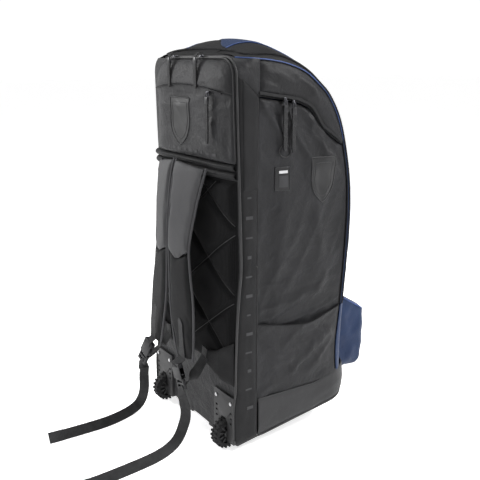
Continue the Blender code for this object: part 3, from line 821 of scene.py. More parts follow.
def hem_place(u, v):
    x, y, z = side_surface(hem_patch, 0.235, 0.175, HEM_OUT, 0.0040, hem_folds)(u, v)
    lip = smooth((v - 0.80) / 0.20) * math.sin(math.pi * min(max(u, 0.0), 1.0))
    gape = 0.0055 * math.exp(-((u - 0.62) / 0.16) ** 2)
    rolled = 0.0035 * smooth((v - 0.93) / 0.07) * border(u, 0.5, 0.235, 0.2, 0.01)
    return (x + lip * (0.0035 + gape) + rolled, y, z)


both_sides(lambda name: panel(name, 64, 50, hem_place, pocket_cloth), "open_pocket_panel", "bag",
           ["hem_pocket"])


def hem_cord(name):
    points = []
    for i in range(41):
        t = mix(0.015, 0.985, i / 40)
        x, y, z = hem_place(t, 1.0)
        points.append((x + 0.0002, y, z - 0.0012))
    return tube(name, points, 0.0016, binding_cloth)


both_sides(hem_cord, "pocket_hem")
print("open pockets made")

# %% [markdown]
# Above the zip the top panel follows the bag's shoulder. The small corner piece between the piping
# and the vertical seam hides the end of the gusset.

# %% Top panel and corner piece
top_start = EDGE.share_at(1, 0.8824)
top_patch = coons(lambda t: ZIP(t) + Vector((0.3, 1.0)).normalized() * 0.0045,
                  lambda t: EDGE.part(top_start, zip_end, t) - Vector((0.001, 0.003)),
                  segment((SEAM + 0.002, 0.810), (SEAM + 0.004, 0.880)),
                  segment((0.2935, 0.6880), (0.2950, 0.6900)))
both_sides(
    lambda name: panel(name, 70, 26, side_surface(top_patch, 0.30, 0.07, 0.0005, 0.0035, top_folds, 0.008),
                       body_cloth),
    "side_top_panel", "bag", ["side_panel"])

corner_patch = coons(segment((0.0045, 0.8470), (SEAM + 0.003, 0.8010)),
                     segment((0.0060, 0.8880), (SEAM + 0.003, 0.8835)),
                     segment((0.0045, 0.8470), (0.0060, 0.8880)),
                     segment((SEAM + 0.003, 0.8010), (SEAM + 0.003, 0.8835)))
both_sides(
    lambda name: panel(name, 18, 18, side_surface(corner_patch, 0.05, 0.05, 0.0026, 0.0020, gusset_folds,
                                                  0.006, 0.0020), pocket_cloth),
    "side_corner_panel")
print("top panels made")


# %% [markdown]
# The gusset is the narrow strip between the back piping and the side seam. It runs from the shoulder
# right down under the wheel bracket. A placket, a second layer with a free edge, covers its upper
# third and ends in a double row of stitches.

# %% Gusset and placket
def gusset_rear(low, high):
    return lambda t: Vector((bow(mix(low, high, t)) + 0.001, mix(low, high, t)))


gusset_patch = coons(segment((-0.0040, 0.0180), (SEAM - 0.001, 0.0262)),
                     segment((0.0060, 0.8560), (SEAM - 0.001, 0.8060)),
                     gusset_rear(0.0180, 0.8560), segment((SEAM - 0.001, 0.0262), (SEAM - 0.001, 0.8060)))


def gusset_place(u, v):
    x, y, z = side_surface(gusset_patch, 0.053, 0.80, 0.0022, 0.0012, gusset_folds, 0.007, 0.0035)(u, v)
    tuck = smooth((0.030 - z) / 0.012)
    return (x - 0.004 * tuck * tuck + 0.0030 * smooth((0.150 - z) / 0.020), y, z)


both_sides(lambda name: panel(name, 14, 150, gusset_place, gusset_cloth), "gusset_strip")

placket_patch = coons(segment((0.0190, 0.6050), (SEAM - 0.003, 0.6050)),
                      segment((0.0150, 0.8420), (SEAM - 0.003, 0.8050)),
                      segment((0.0190, 0.6050), (0.0150, 0.8420)),
                      segment((SEAM - 0.003, 0.6050), (SEAM - 0.003, 0.8050)))
both_sides(
    lambda name: panel(name, 12, 60, side_surface(placket_patch, 0.040, 0.22, 0.0050, 0.0006, gusset_folds,
                                                  0.004, 0.0022), gusset_cloth),
    "gusset_placket")
print("gussets made")

# %% [markdown]
# ## Base
# A band of coated cloth wraps the bottom like a shoe. It is one strip that follows the base outline
# from the right-hand side seam round the front to the left, tucked under at its lower edge. The
# outline is two straights, two quarter circles and a front, read at a share of its whole length.

# %% Base band
FRONT_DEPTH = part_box("base_tray")[1].y - BACK
BASE_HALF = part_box("base_tray")[1].x
CORNER = 0.0760


def rounded_outline(t, half, back, front, radius):
    """From the right back corner round the front to the left back corner: a point and its outward way."""
    straight = front - radius - back
    arc = 0.5 * math.pi * radius
    face = 2.0 * (half - radius)
    total = 2.0 * (straight + arc) + face
    s = t * total
    flip = 1.0
    if s > 0.5 * total:
        s = total - s
        flip = -1.0
    if s < straight:
        return Vector((half * flip, back + s)), Vector((flip, 0.0))
    if s < straight + arc:
        angle = (s - straight) / radius
        out = Vector((math.cos(angle) * flip, math.sin(angle)))
        return Vector(((half - radius) * flip, front - radius)) + out * radius, out
    return Vector(((half - radius - (s - straight - arc)) * flip, front)), Vector((0.0, 1.0))


def rounded_half(over, half, radius):
    """Half width where a round corner has begun: over is how far past its start."""
    if over <= 0.0:
        return half
    return half - radius + math.sqrt(max(radius ** 2 - over ** 2, 0.0))


def base_outline(t):
    return rounded_outline(t, BASE_HALF, SEAM, FRONT_DEPTH, CORNER)


def base_low(depth):
    """The base's lower edge dips behind, climbs towards the front and turns up at the front corner."""
    belly = 0.0110 * smooth(depth / 0.080)
    return BASE_LOW + 0.155 * depth - belly + 0.014 * smooth((depth - 0.300) / 0.050) ** 2


def base_place(u, v):
    point, out = base_outline(u)
    high = BASE_TOP + 0.0035 + 0.020 * smooth((point.y - 0.215) / 0.090)
    height = mix(base_low(point.y) + 0.0005, high, v)
    tuck = smooth((0.22 - v) / 0.22)
    lift = 0.0016 + 0.0022 * math.sin(math.pi * v) - 0.0045 * tuck * tuck
    lift -= 0.0024 * smooth((v - 0.95) / 0.05)
    lift += 0.0012 * ridge(u * 1.1, height, 0.1, 4.0, 0.05, 9.0)
    point = point + out * lift
    return (point.x, at(point.y), height)


base_band = panel("base_band", 220, 18, base_place, base_cloth)
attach(base_band, "bag")
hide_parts("base_tray")


def base_under_place(u, v):
    half = BASE_HALF - 0.006
    depth = mix(FRONT_DEPTH - 0.008, 0.0020, v)
    share = rounded_half(depth - (FRONT_DEPTH - CORNER), half, CORNER) / half
    return (mix(-half, half, u) * share, at(depth), base_low(depth) + 0.0006)


base_under = panel("base_underside", 24, 24, base_under_place, base_cloth)
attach(base_under, "bag")
print("base made")

# %% [markdown]
# ## Back
# The back board's cloth shows below the quilted pad and beside it. The pad is black air mesh over
# foam, sewn down along crossing lines. Between the lines the foam swells, so each diamond is a small
# cushion: the height grows with the distance from the nearest line, which two sine waves give.

# %% Back cloth and quilted pad
LOWER_LOW = BASE_LOW + 0.0005
PAD_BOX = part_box("back_pad")


def back_cloth_place(u, v):
    z = mix(LOWER_LOW, BACK_TOP + 0.001, v)
    half = HALF - 0.0015 - corner_in(0.0, z)
    x = mix(-half, half, u)
    side = max(0.0, (abs(x) - 0.120) / 0.069)
    fold = 0.0020 * ridge(x, z, 0.1, 3.0, 0.06, 2.2)
    return (x, at(-0.0008 + bow(z) * side * side) - fold * (1.0 - side), z)


back_cloth = panel("back_cloth", 60, 110, back_cloth_place, pocket_cloth, 0.0006)
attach(back_cloth, "bag")
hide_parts("back_board")

PAD_LOW, PAD_HIGH = PAD_BOX[0].z, PAD_BOX[1].z
QUILT_ACROSS = 0.2200
QUILT_UP = 0.1550
QUILT_POINT = (0.0800, 0.4400)


def pad_depth(x, z, u, v):
    a = (x - QUILT_POINT[0]) / QUILT_ACROSS + (z - QUILT_POINT[1]) / QUILT_UP
    b = (x - QUILT_POINT[0]) / QUILT_ACROSS - (z - QUILT_POINT[1]) / QUILT_UP
    across = 1.0 / math.hypot(1.0 / QUILT_ACROSS, 1.0 / QUILT_UP) / math.pi
    near = min(abs(math.sin(math.pi * a)), abs(math.sin(math.pi * b))) * across
    far = (abs(math.sin(math.pi * a)) * abs(math.sin(math.pi * b))) ** 0.5
    cushion = 0.62 * smooth(near / 0.014) + 0.38 * far
    edge = border(u, v, 0.36, 0.44, 0.016)
    side = max(0.0, (abs(x) - 0.120) / 0.067)
    swell = 0.0010 * noise.noise(Vector((x * 22.0, z * 22.0, 4.0)))
    raised = (PAD_FACE + 0.0020) * edge * (0.10 + 1.05 * cushion)
    return -0.0015 + bow(z) * side * side + raised + swell * edge


def pad_place(u, v):
    x = mix(-0.1830, 0.1830, u)
    z = mix(PAD_LOW, PAD_HIGH, v)
    return (x, at(pad_depth(x, z, u, v)), z)


quilted_pad = panel("quilted_pad", 110, 130, pad_place, mesh_cloth, 0.0008)
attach(quilted_pad, "bag")
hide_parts("back_pad")


def quilt_stitches():
    """Raised rows of stitches along both sets of quilting lines."""
    # The rows use the lighter sewing thread: partly real stitching, partly a painted highlight along the
    # quilting lines.
    rows = []
    for way in (1.0, -1.0):
        for k in range(-6, 7):
            line = []
            for i in range(121):
                x = mix(-0.176, 0.176, i / 120)
                z = QUILT_POINT[1] + way * (k * QUILT_UP - (x - QUILT_POINT[0]) * QUILT_UP / QUILT_ACROSS)
                if PAD_LOW + 0.010 < z < PAD_HIGH - 0.006:
                    u = (x + 0.1830) / 0.3660
                    v = (z - PAD_LOW) / (PAD_HIGH - PAD_LOW)
                    line.append((x, at(pad_depth(x, z, u, v) - 0.0008), z))
            if len(line) > 6:
                rows.append(tube("quilt_row", line, 0.0010, thread_film, 1))
    return joined(rows, "quilt_stitches")


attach(quilt_stitches(), "bag")
print("back made")


# %% [markdown]
# The rolled bands above the pad are two soft ridges, one over the other, where the pad's cover is
# gathered under the pocket.

# %% Rolled bands
def band_place(low, high, out):
    def place(u, v):
        x = mix(-0.1830, 0.1830, u)
        side = max(0.0, (abs(x) - 0.120) / 0.067)
        swell = math.sin(math.pi * v) ** 0.6
        wave = 0.0014 * noise.noise(Vector((x * 22.0, low * 9.0, 4.0)))
        return (x, at(-0.0015 + bow(low) * side * side - (out + wave) * swell), mix(low, high, v))
    return place


for label, low, high, out in (("upper", 0.6465, 0.6640, 0.0100), ("lower", 0.6280, 0.6465, 0.0085)):
    band = panel("rolled_band_" + label, 60, 10, band_place(low, high, out), gusset_cloth)
    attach(band, "bag")
    if label == "upper":
        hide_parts("rolled_band")
print("rolled bands made")


# %% [markdown]
# The pocket at the top of the back stands out from it and has round upper corners. An arched flap of
# cloth covers its zip. A mapping that squeezes the grid's upper corners into quarter circles gives
# that outline with clean edge loops. The left corner is rounder, because the load has left it slack.

# %% Back top pocket
POCKET_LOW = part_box("back_top_pocket")[0].z
POCKET_HALF = 0.1870
ARCH_LOW = 0.8110
ARCH_RISE = 0.0190
CORNER_RIGHT = 0.0400
CORNER_LEFT = 0.1080


def arch_height(x):
    return ARCH_LOW + ARCH_RISE * (1.0 - (x / POCKET_HALF) ** 2)


def squeeze(x, z, half, top, radius):
    """Pull a grid's upper corners into quarter circles."""
    return x * rounded_half(z - (top - radius), half, radius) / half


def pocket_out(x):
    """How far the pocket's face stands out: flat in the middle, rounding to the piping."""
    side = min(max((abs(x) - 0.118) / 0.069, 0.0), 1.0)
    return 0.0185 - 0.0235 * (1.0 - math.sqrt(max(1.0 - side * side, 0.0)))


def lower_cover_place(u, v):
    x = mix(-POCKET_HALF, POCKET_HALF, u)
    z = mix(POCKET_LOW - 0.002, arch_height(x), v)
    low = math.sqrt(max(1.0 - (1.0 - min(v / 0.14, 1.0)) ** 2, 0.0))
    fold = 0.0018 * ridge(x, z, 0.15, 3.0, 0.060, 6.1) + 0.0012 * ridge(x, z, -0.9, 3.0, 0.080, 3.9)
    fold += 0.0040 * crease(x, z, (0.120, 0.735), 2.2, 0.040, 0.010)
    fold += 0.0030 * crease(x, z, (0.085, 0.700), 2.7, 0.050, 0.010)
    edge = border(u, v, 0.36, 0.145, 0.020)
    out = pocket_out(x) * mix(0.35, 1.0, low) + edge * (fold - 0.0045 + 0.0030 * sag(x, z, 9.0))
    return (x, at(left_set(x, z) - out + 0.0022 * smooth((v - 0.96) / 0.04)), z)


def upper_cover_place(u, v):
    flat = mix(-POCKET_HALF, POCKET_HALF, u)
    z = mix(arch_height(flat) - 0.004, BACK_TOP + 0.002, v)
    x = squeeze(flat, z, POCKET_HALF, BACK_TOP + 0.003, CORNER_RIGHT if flat > 0.0 else CORNER_LEFT)
    inner = 1.0 - math.sqrt(max(1.0 - v * v, 0.0))
    fold = 0.0016 * ridge(x, z, 0.2, 3.0, 0.05, 2.8)
    roll = 0.0040 * smooth((0.05 - v) / 0.05)
    out = (pocket_out(flat) + 0.0020) * (1.0 - inner) + fold * (1 - v)
    return (x, at(left_set(flat, z) * (1 - v) - out + roll), z)


pocket_cover = panel("pocket_cover", 80, 40, lower_cover_place, body_cloth)
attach(pocket_cover, "bag")
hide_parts("back_top_pocket")
pocket_hood = panel("pocket_hood", 80, 24, upper_cover_place, body_cloth)
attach(pocket_hood, "bag")
print("back pocket made")

# %% [markdown]
# ## Flap
# The navy flap covers the whole front and the top in one sweep. Across the bag its section is half of
# an ellipse. Its border is a charcoal strip between two lines of light blue piping, and the zip runs
# along that strip. At the rear the navy cloth stops short of the back, further forward on the left.

# %% The flap's surface
flap_start = EDGE.share_at(1, HINGE_Z)


def flap_frame(v):
    """Depth, height and outward way of the flap's edge at a share of its length."""
    share = mix(flap_start, 1.0, v)
    here = EDGE(share)
    along = (EDGE(share + 0.006) - EDGE(share - 0.006)).normalized()
    out = Vector((1.0, 0.0)).lerp(Vector((along.y, -along.x)), smooth(v / 0.10)).normalized()
    return here, out, rise_at(share)


def dome_point(angle, v, lift=0.0):
    """A point of the flap: angle goes from -90 degrees, left edge, to 90 degrees, right edge."""
    here, out, rise = flap_frame(v)
    across = math.sin(angle) * (HALF - 0.0005 + lift)
    up = max(math.cos(angle), 0.0) * rise + lift
    point = here + out * up
    across -= math.copysign(corner_in(point.x, here.y, 0.034), across) * abs(math.sin(angle)) ** 4
    return Vector((across, at(point.x), point.y))


def strip_angle(v):
    """Where the border strip begins: wide over the top, narrow down the front."""
    return math.radians(mix(79.0, 56.0, smooth((v - 0.66) / 0.20)) - 28.0 * smooth((v - 0.80) / 0.15))


LEFT_SHIFT = 0.10
NAVY_END = 0.0
for i in range(200):
    if flap_frame(i / 200)[0].x > 0.0380 or i < 100:
        NAVY_END = i / 200


def flap_place(u, v):
    v = v * (NAVY_END - LEFT_SHIFT * smooth(u))
    limit = strip_angle(v)
    point = dome_point(mix(limit, -limit, u), v)
    fold = 0.0030 * noise.noise(Vector((point.x * 9.0, point.z * 6.0, 3.0)))
    fold += 0.0022 * ridge(point.x, point.z, 0.3, 3.5, 0.07, 4.4)
    edge = border(u, v, 0.30, 0.9, 0.012)
    _, out, _ = flap_frame(v)
    lift = fold * edge - 0.002 * (1 - edge)
    return (point.x, point.y + out.x * lift, point.z + out.y * lift)


flap_cloth = panel("flap_cloth", 70, 170, flap_place, navy_cloth, 0.0030)
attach(flap_cloth, "main_flap")
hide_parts("main_flap")


def strip_place(u, v):
    limit = strip_angle(v)
    point = dome_point(mix(math.radians(90.0), limit - 0.01, u), v)
    _, out, _ = flap_frame(v)
    dip = 0.0020 * math.sin(math.pi * u) - 0.0022
    return (point.x, point.y + out.x * dip, point.z + out.y * dip)


both_sides(lambda name: panel(name, 12, 150, strip_place, gusset_cloth, 0.0020), "flap_border",
           "main_flap")


def rear_strip_place(u, v):
    """The dark strip between the navy cloth and the back, from side to side."""
    here = mix(NAVY_END - LEFT_SHIFT * smooth(u) - 0.004, 1.0, v)
    limit = strip_angle(here) + 0.01
    point = dome_point(mix(limit, -limit, u), here)
    dip = 0.0020 * math.sin(math.pi * v) - 0.0022
    return (point.x, point.y, point.z + dip)


rear_strip = panel("flap_rear_strip", 60, 12, rear_strip_place, gusset_cloth, 0.0020)
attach(rear_strip, "main_flap")


def dome_line(angle_of, lift, start=0.0, end=1.0):
    shares = [mix(start, end, i / 110) for i in range(111)]
    return [dome_point(angle_of(share), share, lift) for share in shares]


def round_the_back(angle_of, at_share, lift):
    """One line up the right side, across the rear and down the left side, smoothed at its turns."""
    right = dome_line(angle_of, lift, 0.0, at_share)
    limit = angle_of(at_share)
    rear = [dome_point(mix(limit, -limit, i / 50), at_share, lift) for i in range(1, 50)]
    left = [Vector((-p.x, p.y, p.z)) for p in reversed(right)]
    run = right + rear + left
    for turn in (len(right), len(right) + len(rear)):
        for _ in range(12):
            for i in range(turn - 9, turn + 9):
                run[i] = run[i].lerp((run[i - 1] + run[i + 1]) * 0.5, 0.5)
    return run


both_sides(lambda name: tube(name, dome_line(strip_angle, -0.0010, 0.0, NAVY_END), 0.0013, blue_piping),
           "inner_piping", "main_flap")
zip_run = round_the_back(lambda v: math.radians(mix(86.0, 74.0, smooth((v - 0.66) / 0.20))),
                         mix(NAVY_END, 1.0, 0.45), 0.0006)
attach(tube("flap_zip", zip_run, 0.0026, tape_cloth), "main_flap")
both_sides(lambda name: tube(name, dome_line(lambda v: math.radians(89), 0.0, 0.52), 0.0012, blue_piping),
           "outer_piping", "main_flap")
both_sides(lambda name: tube(name, dome_line(lambda v: math.radians(88), -0.0002, 0.0, 0.53), 0.0014,
                             navy_cloth), "edge_roll", "main_flap")


def rear_fill_place(u, v):
    """The roll of cloth between the back's top edge and the flap."""
    x = mix(-0.1480, 0.1800, u)
    high = 0.8855 + 0.0120 * math.sqrt(max(1.0 - (x / 0.1885) ** 2, 0.0)) - 0.0016
    x = squeeze(x, BACK_TOP, 0.1885, BACK_TOP + 0.003, 0.040)
    return (x, at(mix(0.0005, 0.0150, v)), mix(BACK_TOP + 0.0005, high, math.sin(0.5 * math.pi * v)))


rear_fill = panel("back_top_roll", 60, 6, rear_fill_place, gusset_cloth)
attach(rear_fill, "bag")
print("flap made")


# %% [markdown]
# Below the fold line a fixed navy panel closes the front. It carries the box-shaped pocket.

# %% Lower front
def lower_front_place(u, v):
    angle = mix(math.radians(89.8), -math.radians(89.8), u)
    share = EDGE.share_at(1, mix(BASE_TOP + 0.002, HINGE_Z - 0.001, v))
    here = EDGE(share)
    fold = 0.0022 * noise.noise(Vector((math.sin(angle) * 2.3, here.y * 14.0, 6.0))) * math.cos(angle)
    depth = here.x + math.cos(angle) * rise_at(share) + fold
    return (math.sin(angle) * (HALF - 0.0005), at(depth), here.y)


lower_front = panel("lower_front_cloth", 90, 30, lower_front_place, navy_cloth)
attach(lower_front, "bag")
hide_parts("lower_front_panel")
print("lower front made")

# %% [markdown]
# The front pocket is a soft box. Rings of points round its outline, bulging at half height, are
# closer to a stuffed pocket than a bevelled cube. The sloping top is the zipped lid.

# %% Front pocket and its lid
FRONT_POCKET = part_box("front_pocket")
LID_BACK = FRONT_POCKET[0].y
LID_FRONT = FRONT_POCKET[1].y
LID_SLOPE = 0.60
LID_CORNER = 0.0300
POCKET_TOP = FRONT_POCKET[1].z


def lid_height(y):
    return POCKET_TOP - LID_SLOPE * (y - LID_BACK)


def pocket_wall_place(u, v):
    point, out = rounded_outline(u, FRONT_POCKET[1].x, at(0.3240), LID_FRONT, LID_CORNER)
    top = lid_height(max(point.y, LID_BACK))
    z = mix(FRONT_POCKET[0].z, top, v)
    round_low = math.sqrt(max(1.0 - (1.0 - min(v / 0.22, 1.0)) ** 2, 0.0))
    bulge = 0.004 * math.sin(math.pi * min(v * 1.1, 1.0))
    inset = mix(0.022, 0.0, round_low) - bulge
    fold = 0.0026 * ridge(u, z, 0.4, 3.0, 0.05, 7.7)
    fold += 0.0030 * noise.noise(Vector((u * 14.0, z * 20.0, 3.0)))
    lean = 0.0130 * smooth((0.230 - z) / 0.120) * max(out.y, 0.0)
    point = point - out * (inset + 0.001 - fold) - Vector((0.0, lean))
    return (point.x, max(point.y, at(0.3220)), z)


pocket_wall = panel("front_pocket_wall", 110, 26, pocket_wall_place, navy_cloth)
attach(pocket_wall, "bag")
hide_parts("front_pocket")


def pocket_floor_place(u, v):
    half = FRONT_POCKET[1].x - 0.022
    return (mix(-half, half, u), mix(at(0.3300), LID_FRONT - 0.024, v), FRONT_POCKET[0].z + 0.0012)


pocket_floor = panel("front_pocket_floor", 20, 6, pocket_floor_place, navy_cloth)
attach(pocket_floor, "bag")


def lid_place(u, v):
    y = mix(LID_BACK - 0.002, LID_FRONT - 0.001, v)
    room = rounded_half(y - (LID_FRONT - LID_CORNER), FRONT_POCKET[1].x - 0.001, LID_CORNER)
    crown = 0.0050 * border(u, v, 0.28, 0.07, 0.02)
    return (mix(room, -room, u), y, lid_height(y) + 0.0020 + crown)


pocket_lid = panel("front_pocket_lid_cloth", 60, 16, lid_place, navy_cloth)
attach(pocket_lid, "front_pocket_lid")
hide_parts("front_pocket_lid")
lid_rim = [Vector(lid_place(0.0, i / 14)) for i in range(15)]
lid_rim += [Vector(lid_place(i / 40, 1.0)) for i in range(1, 41)]
lid_rim += [Vector(lid_place(1.0, 1.0 - i / 14)) for i in range(1, 15)]
lid_piping = tube("front_lid_piping", [p + Vector((0, 0.0003, -0.001)) for p in lid_rim], 0.0018,
                  blue_piping)
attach(lid_piping, "front_pocket_lid")
print("front pocket made")


# %% [markdown]
# ## Piping on the back
# Black piping marks the back panel's border. It goes up both sides, round the upper corners and
# across the top. A second, thinner line edges the top pocket.

# %% Back piping
def back_border(half, low, top, radii, out):
    """Up the right side, round the upper corners and down the left, following the back's bow."""
    def side(sign, radius):
        heights = [mix(low, top - radius, i / 60) for i in range(60)]
        line = [(half * sign, at(bow(z) + left_set(half * sign, z) + out), z) for z in heights]
        forward = bow(top) + left_set(half * sign, top)
        for i in range(13):
            angle = 0.5 * math.pi * i / 12
            line.append(((half - radius + radius * math.cos(angle)) * sign,
                         at(forward * math.cos(angle) + out), top - radius + radius * math.sin(angle)))
        return line
    right, left = side(1.0, radii[0]), side(-1.0, radii[1])
    middle = [(mix(half - radii[0], radii[1] - half, i / 20), at(out), top) for i in range(1, 20)]
    return right + middle + list(reversed(left))


main_piping = tube("back_piping",
                   back_border(HALF + 0.0004, 0.0330, BACK_TOP + 0.0030, (0.040, 0.105), -0.0020),
                   0.0027, black_piping)
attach(main_piping, "bag")
pocket_piping = tube("pocket_piping",
                     back_border(POCKET_HALF - 0.0030, POCKET_LOW, BACK_TOP + 0.0010, (0.038, 0.103),
                                 -0.0075),
                     0.0018, black_piping)
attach(pocket_piping, "bag")


def corner_piping(name):
    """The piping goes on round the bottom corner and along the base's lower edge."""
    points = [(HALF + 0.0020, at(-0.0050), 0.0330), (HALF + 0.0016, at(-0.0030), 0.0230),
              (HALF + 0.0008, at(0.0040), 0.0175)]
    for i in range(60):
        point, out = base_outline(0.50 * i / 59)
        spot = point - out * 0.0016
        points.append((spot.x, at(spot.y), base_low(point.y) + 0.0008))
    return tube(name, points, 0.0020, black_piping)


both_sides(corner_piping, "corner_piping")


def side_seam_cord(name):
    points = [(HALF - 0.0012, at(SEAM - 0.0005), mix(0.034, 0.806, i / 60)) for i in range(61)]
    return tube(name, points, 0.0008, thread_film)


both_sides(side_seam_cord, "side_seam")
print("piping made")


# %% [markdown]
# ## Shoulder straps
# A shoulder strap is foam between two cloths with a bound edge. The section is a flattened pillow,
# swept down the strap's line. The upper part is smooth, lighter cloth and the lower part is coarser,
# and they meet in a chevron seam. The foam inside is a short cloth simulation: pressure pushes the
# cover out, its stiffness holds it in, and a cap keeps it near the shape it started from.

# %% Strap pads
STRAP_LINE = [
    (0.0575, -0.0385, 0.6560, 0.0520, 13.0), (0.0550, -0.0470, 0.6250, 0.0500, 13.0),
    (0.0490, -0.0580, 0.5600, 0.0450, 12.0), (0.0425, -0.0665, 0.4700, 0.0380, 10.0),
    (0.0470, -0.0680, 0.4000, 0.0410, 8.0), (0.0550, -0.0690, 0.3400, 0.0455, 7.0),
    (0.0640, -0.0710, 0.2750, 0.0420, 7.0), (0.0720, -0.0720, 0.2300, 0.0360, 6.0),
    (0.0760, -0.0720, 0.2020, 0.0290, 5.0),
]
STRAP = Line([point[:4] for point in STRAP_LINE])
STRAP_TURNS = Line([(point[2], point[4]) for point in STRAP_LINE])
STRAP_THICK = 0.0155
FOAM_VOXEL = 0.0045
FOAM_PRESSURE = 4.0
FOAM_CAP = 0.0030
CHEVRON = STRAP.share_at(2, 0.4500)


def strap_section(share):
    """Centre of the outer face, half width, sideways and outward ways, at a share of the strap."""
    here = STRAP(share)
    before, after = STRAP(share - 0.02), STRAP(share + 0.02)
    along = Vector((after.x - before.x, after.y - before.y, after.z - before.z)).normalized()
    turn = math.radians(STRAP_TURNS(STRAP_TURNS.share_at(0, here.z)).y)
    side = Vector((math.cos(turn), math.sin(turn), 0.0))
    side = (side - along * side.dot(along)).normalized()
    out = along.cross(side)
    if out.y > 0.0:
        out.negate()
    return Vector((here.x, at(here.y), here.z)), here.w, side, out


def strap_point(share, angle, grow=0.0):
    """A point of the strap's pillow-shaped section."""
    centre, half, side, out = strap_section(share)
    across = math.copysign(abs(math.cos(angle)) ** 0.55, math.cos(angle)) * (half + grow)
    thick = math.copysign(abs(math.sin(angle)) ** 0.75, math.sin(angle)) * (0.5 * STRAP_THICK + grow)
    return centre - out * (0.5 * STRAP_THICK) + side * across + out * thick


def strap_pad(name, start, end, material, grow):
    """A closed pad: a grid wrapped round the strap's section, its two ends filled."""
    rings, around = 44, 28
    deselect()
    bpy.ops.mesh.primitive_grid_add(x_subdivisions=around, y_subdivisions=rings, size=1.0)
    obj = bpy.context.object
    obj.name = name
    obj.data.name = name
    for vertex in obj.data.vertices:
        u, v = vertex.co.x + 0.5, vertex.co.y + 0.5
        angle = 2.0 * math.pi * u
        chevron = 0.045 * (1.0 - abs(math.cos(angle)) ** 0.55)
        low = start if start <= 0.0 else start + chevron
        high = end if end >= 1.0 else end + chevron
        share = mix(low, high, v)
        tired = 0.0008 * noise.noise(Vector((share * 14.0, angle, 5.0)))
        pinch = 0.0015 * smooth((0.03 - v) / 0.03) + 0.0015 * smooth((v - 0.97) / 0.03)
        vertex.co = strap_point(share, angle, grow + tired - pinch)
    uv_in_metres(obj, around, rings)
    make_active(obj)
    bpy.ops.object.mode_set(mode="EDIT")
    bpy.ops.mesh.select_all(action="SELECT")
    bpy.ops.mesh.remove_doubles(threshold=0.00005)
    bpy.ops.mesh.select_all(action="DESELECT")
    bpy.ops.mesh.select_non_manifold()
    bpy.ops.mesh.fill_holes(sides=0)
    bpy.ops.mesh.select_all(action="SELECT")
    bpy.ops.mesh.normals_make_consistent(inside=False)
    bpy.ops.object.mode_set(mode="OBJECT")
    soften(obj)
    apply_all(obj)
    obj.data.materials.append(material)
    return shade(obj, 60)


def puffed(obj):
    """Let foam swell inside its cloth: remesh, simulate under pressure, cap the movement."""
    make_active(obj)
    material = obj.data.materials[0]
    obj.data.remesh_voxel_size = FOAM_VOXEL
    bpy.ops.object.voxel_remesh()
    start = [v.co.copy() for v in obj.data.vertices]
    cloth = obj.modifiers.new("foam", "CLOTH")
    cloth.settings.use_pressure = True
    cloth.settings.uniform_pressure_force = FOAM_PRESSURE
    cloth.settings.effector_weights.gravity = 0.0
    cloth.settings.tension_stiffness = 15.0
    cloth.settings.compression_stiffness = 15.0
    cloth.point_cache.frame_start = 1
    cloth.point_cache.frame_end = 20
    for frame_number in range(1, 21):
        bpy.context.scene.frame_set(frame_number)
    seen = obj.evaluated_get(bpy.context.evaluated_depsgraph_get())
    moved = [v.co.copy() for v in seen.data.vertices]
    obj.modifiers.remove(cloth)
    bpy.context.scene.frame_set(1)
    for vertex, old, new in zip(obj.data.vertices, start, moved):
        step = new - old
        if step.length > FOAM_CAP:
            step = step.normalized() * FOAM_CAP
        vertex.co = old + step
    soften(obj)
    apply_all(obj)
    if not obj.data.uv_layers:
        obj.data.uv_layers.new(name="UVMap")
    layer = obj.data.uv_layers.active.data
    for loop in obj.data.loops:
        place = obj.data.vertices[loop.vertex_index].co
        layer[loop.index].uv = (place.x, place.z)
    if not obj.data.materials:
        obj.data.materials.append(material)
    return shade(obj)


pads = both_sides(lambda name: puffed(strap_pad(name, 0.0, CHEVRON, strap_cloth, -0.0010)),
                  "strap_upper", "bag", ["shoulder_strap"])
pads += both_sides(lambda name: puffed(strap_pad(name, CHEVRON - 0.006, 1.0, strap_rough_cloth, -0.0022)),
                   "strap_lower")


def strap_binding(way):
    def make(name):
        points = []
        for i in range(61):
            centre, half, side, out = strap_section(i / 60)
            points.append(centre - out * (0.5 * STRAP_THICK) + side * way * (half - 0.0010))
        return tube(name, points, 0.0030, light_binding)
    return make


both_sides(strap_binding(1.0), "strap_binding_outer")
both_sides(strap_binding(-1.0), "strap_binding_inner")
print("strap pads made")

# %% [markdown]
# ## Wings and anchor webbing
# The lower wings are flat triangles of cloth sewn into the back's side seams. Each one folds over at
# its tip and holds the webbing that comes up to the buckle.

# %% Wings
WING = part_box("strap_wing_right")


def wing_place(u, v):
    low = Line([(0.0780, 0.1920), (0.1300, 0.1740), (0.1860, 0.1580)])
    high = Line([(0.0900, 0.2260), (0.1300, 0.2330), (0.1860, 0.2660)])
    point = low(u).lerp(high(u), v)
    edge = border(u, v, 0.10, 0.06, 0.008)
    lift = 0.0035 * edge + 0.0036 * ridge(point.x, point.y, 0.2, 3.0, 0.04, 1.2) * edge
    sink = 0.0150 * smooth((u - 0.62) / 0.38)
    return (point.x, WING[0].y + 0.0030 - lift + sink, point.y)


both_sides(lambda name: panel(name, 24, 16, wing_place, strap_rough_cloth, 0.0030), "strap_wing_cloth",
           "bag", ["strap_wing"])


def wing_tip(name):
    points = [(mix(0.0830, 0.0905, i / 8), WING[0].y - 0.0005, mix(0.1900, 0.2280, i / 8))
              for i in range(9)]
    return ribbon(name, points, [0.020] * 9, [(0.0, -1.0, 0.0)] * 9, 0.0030, webbing_cloth)


both_sides(wing_tip, "wing_tip")
print("wings made")
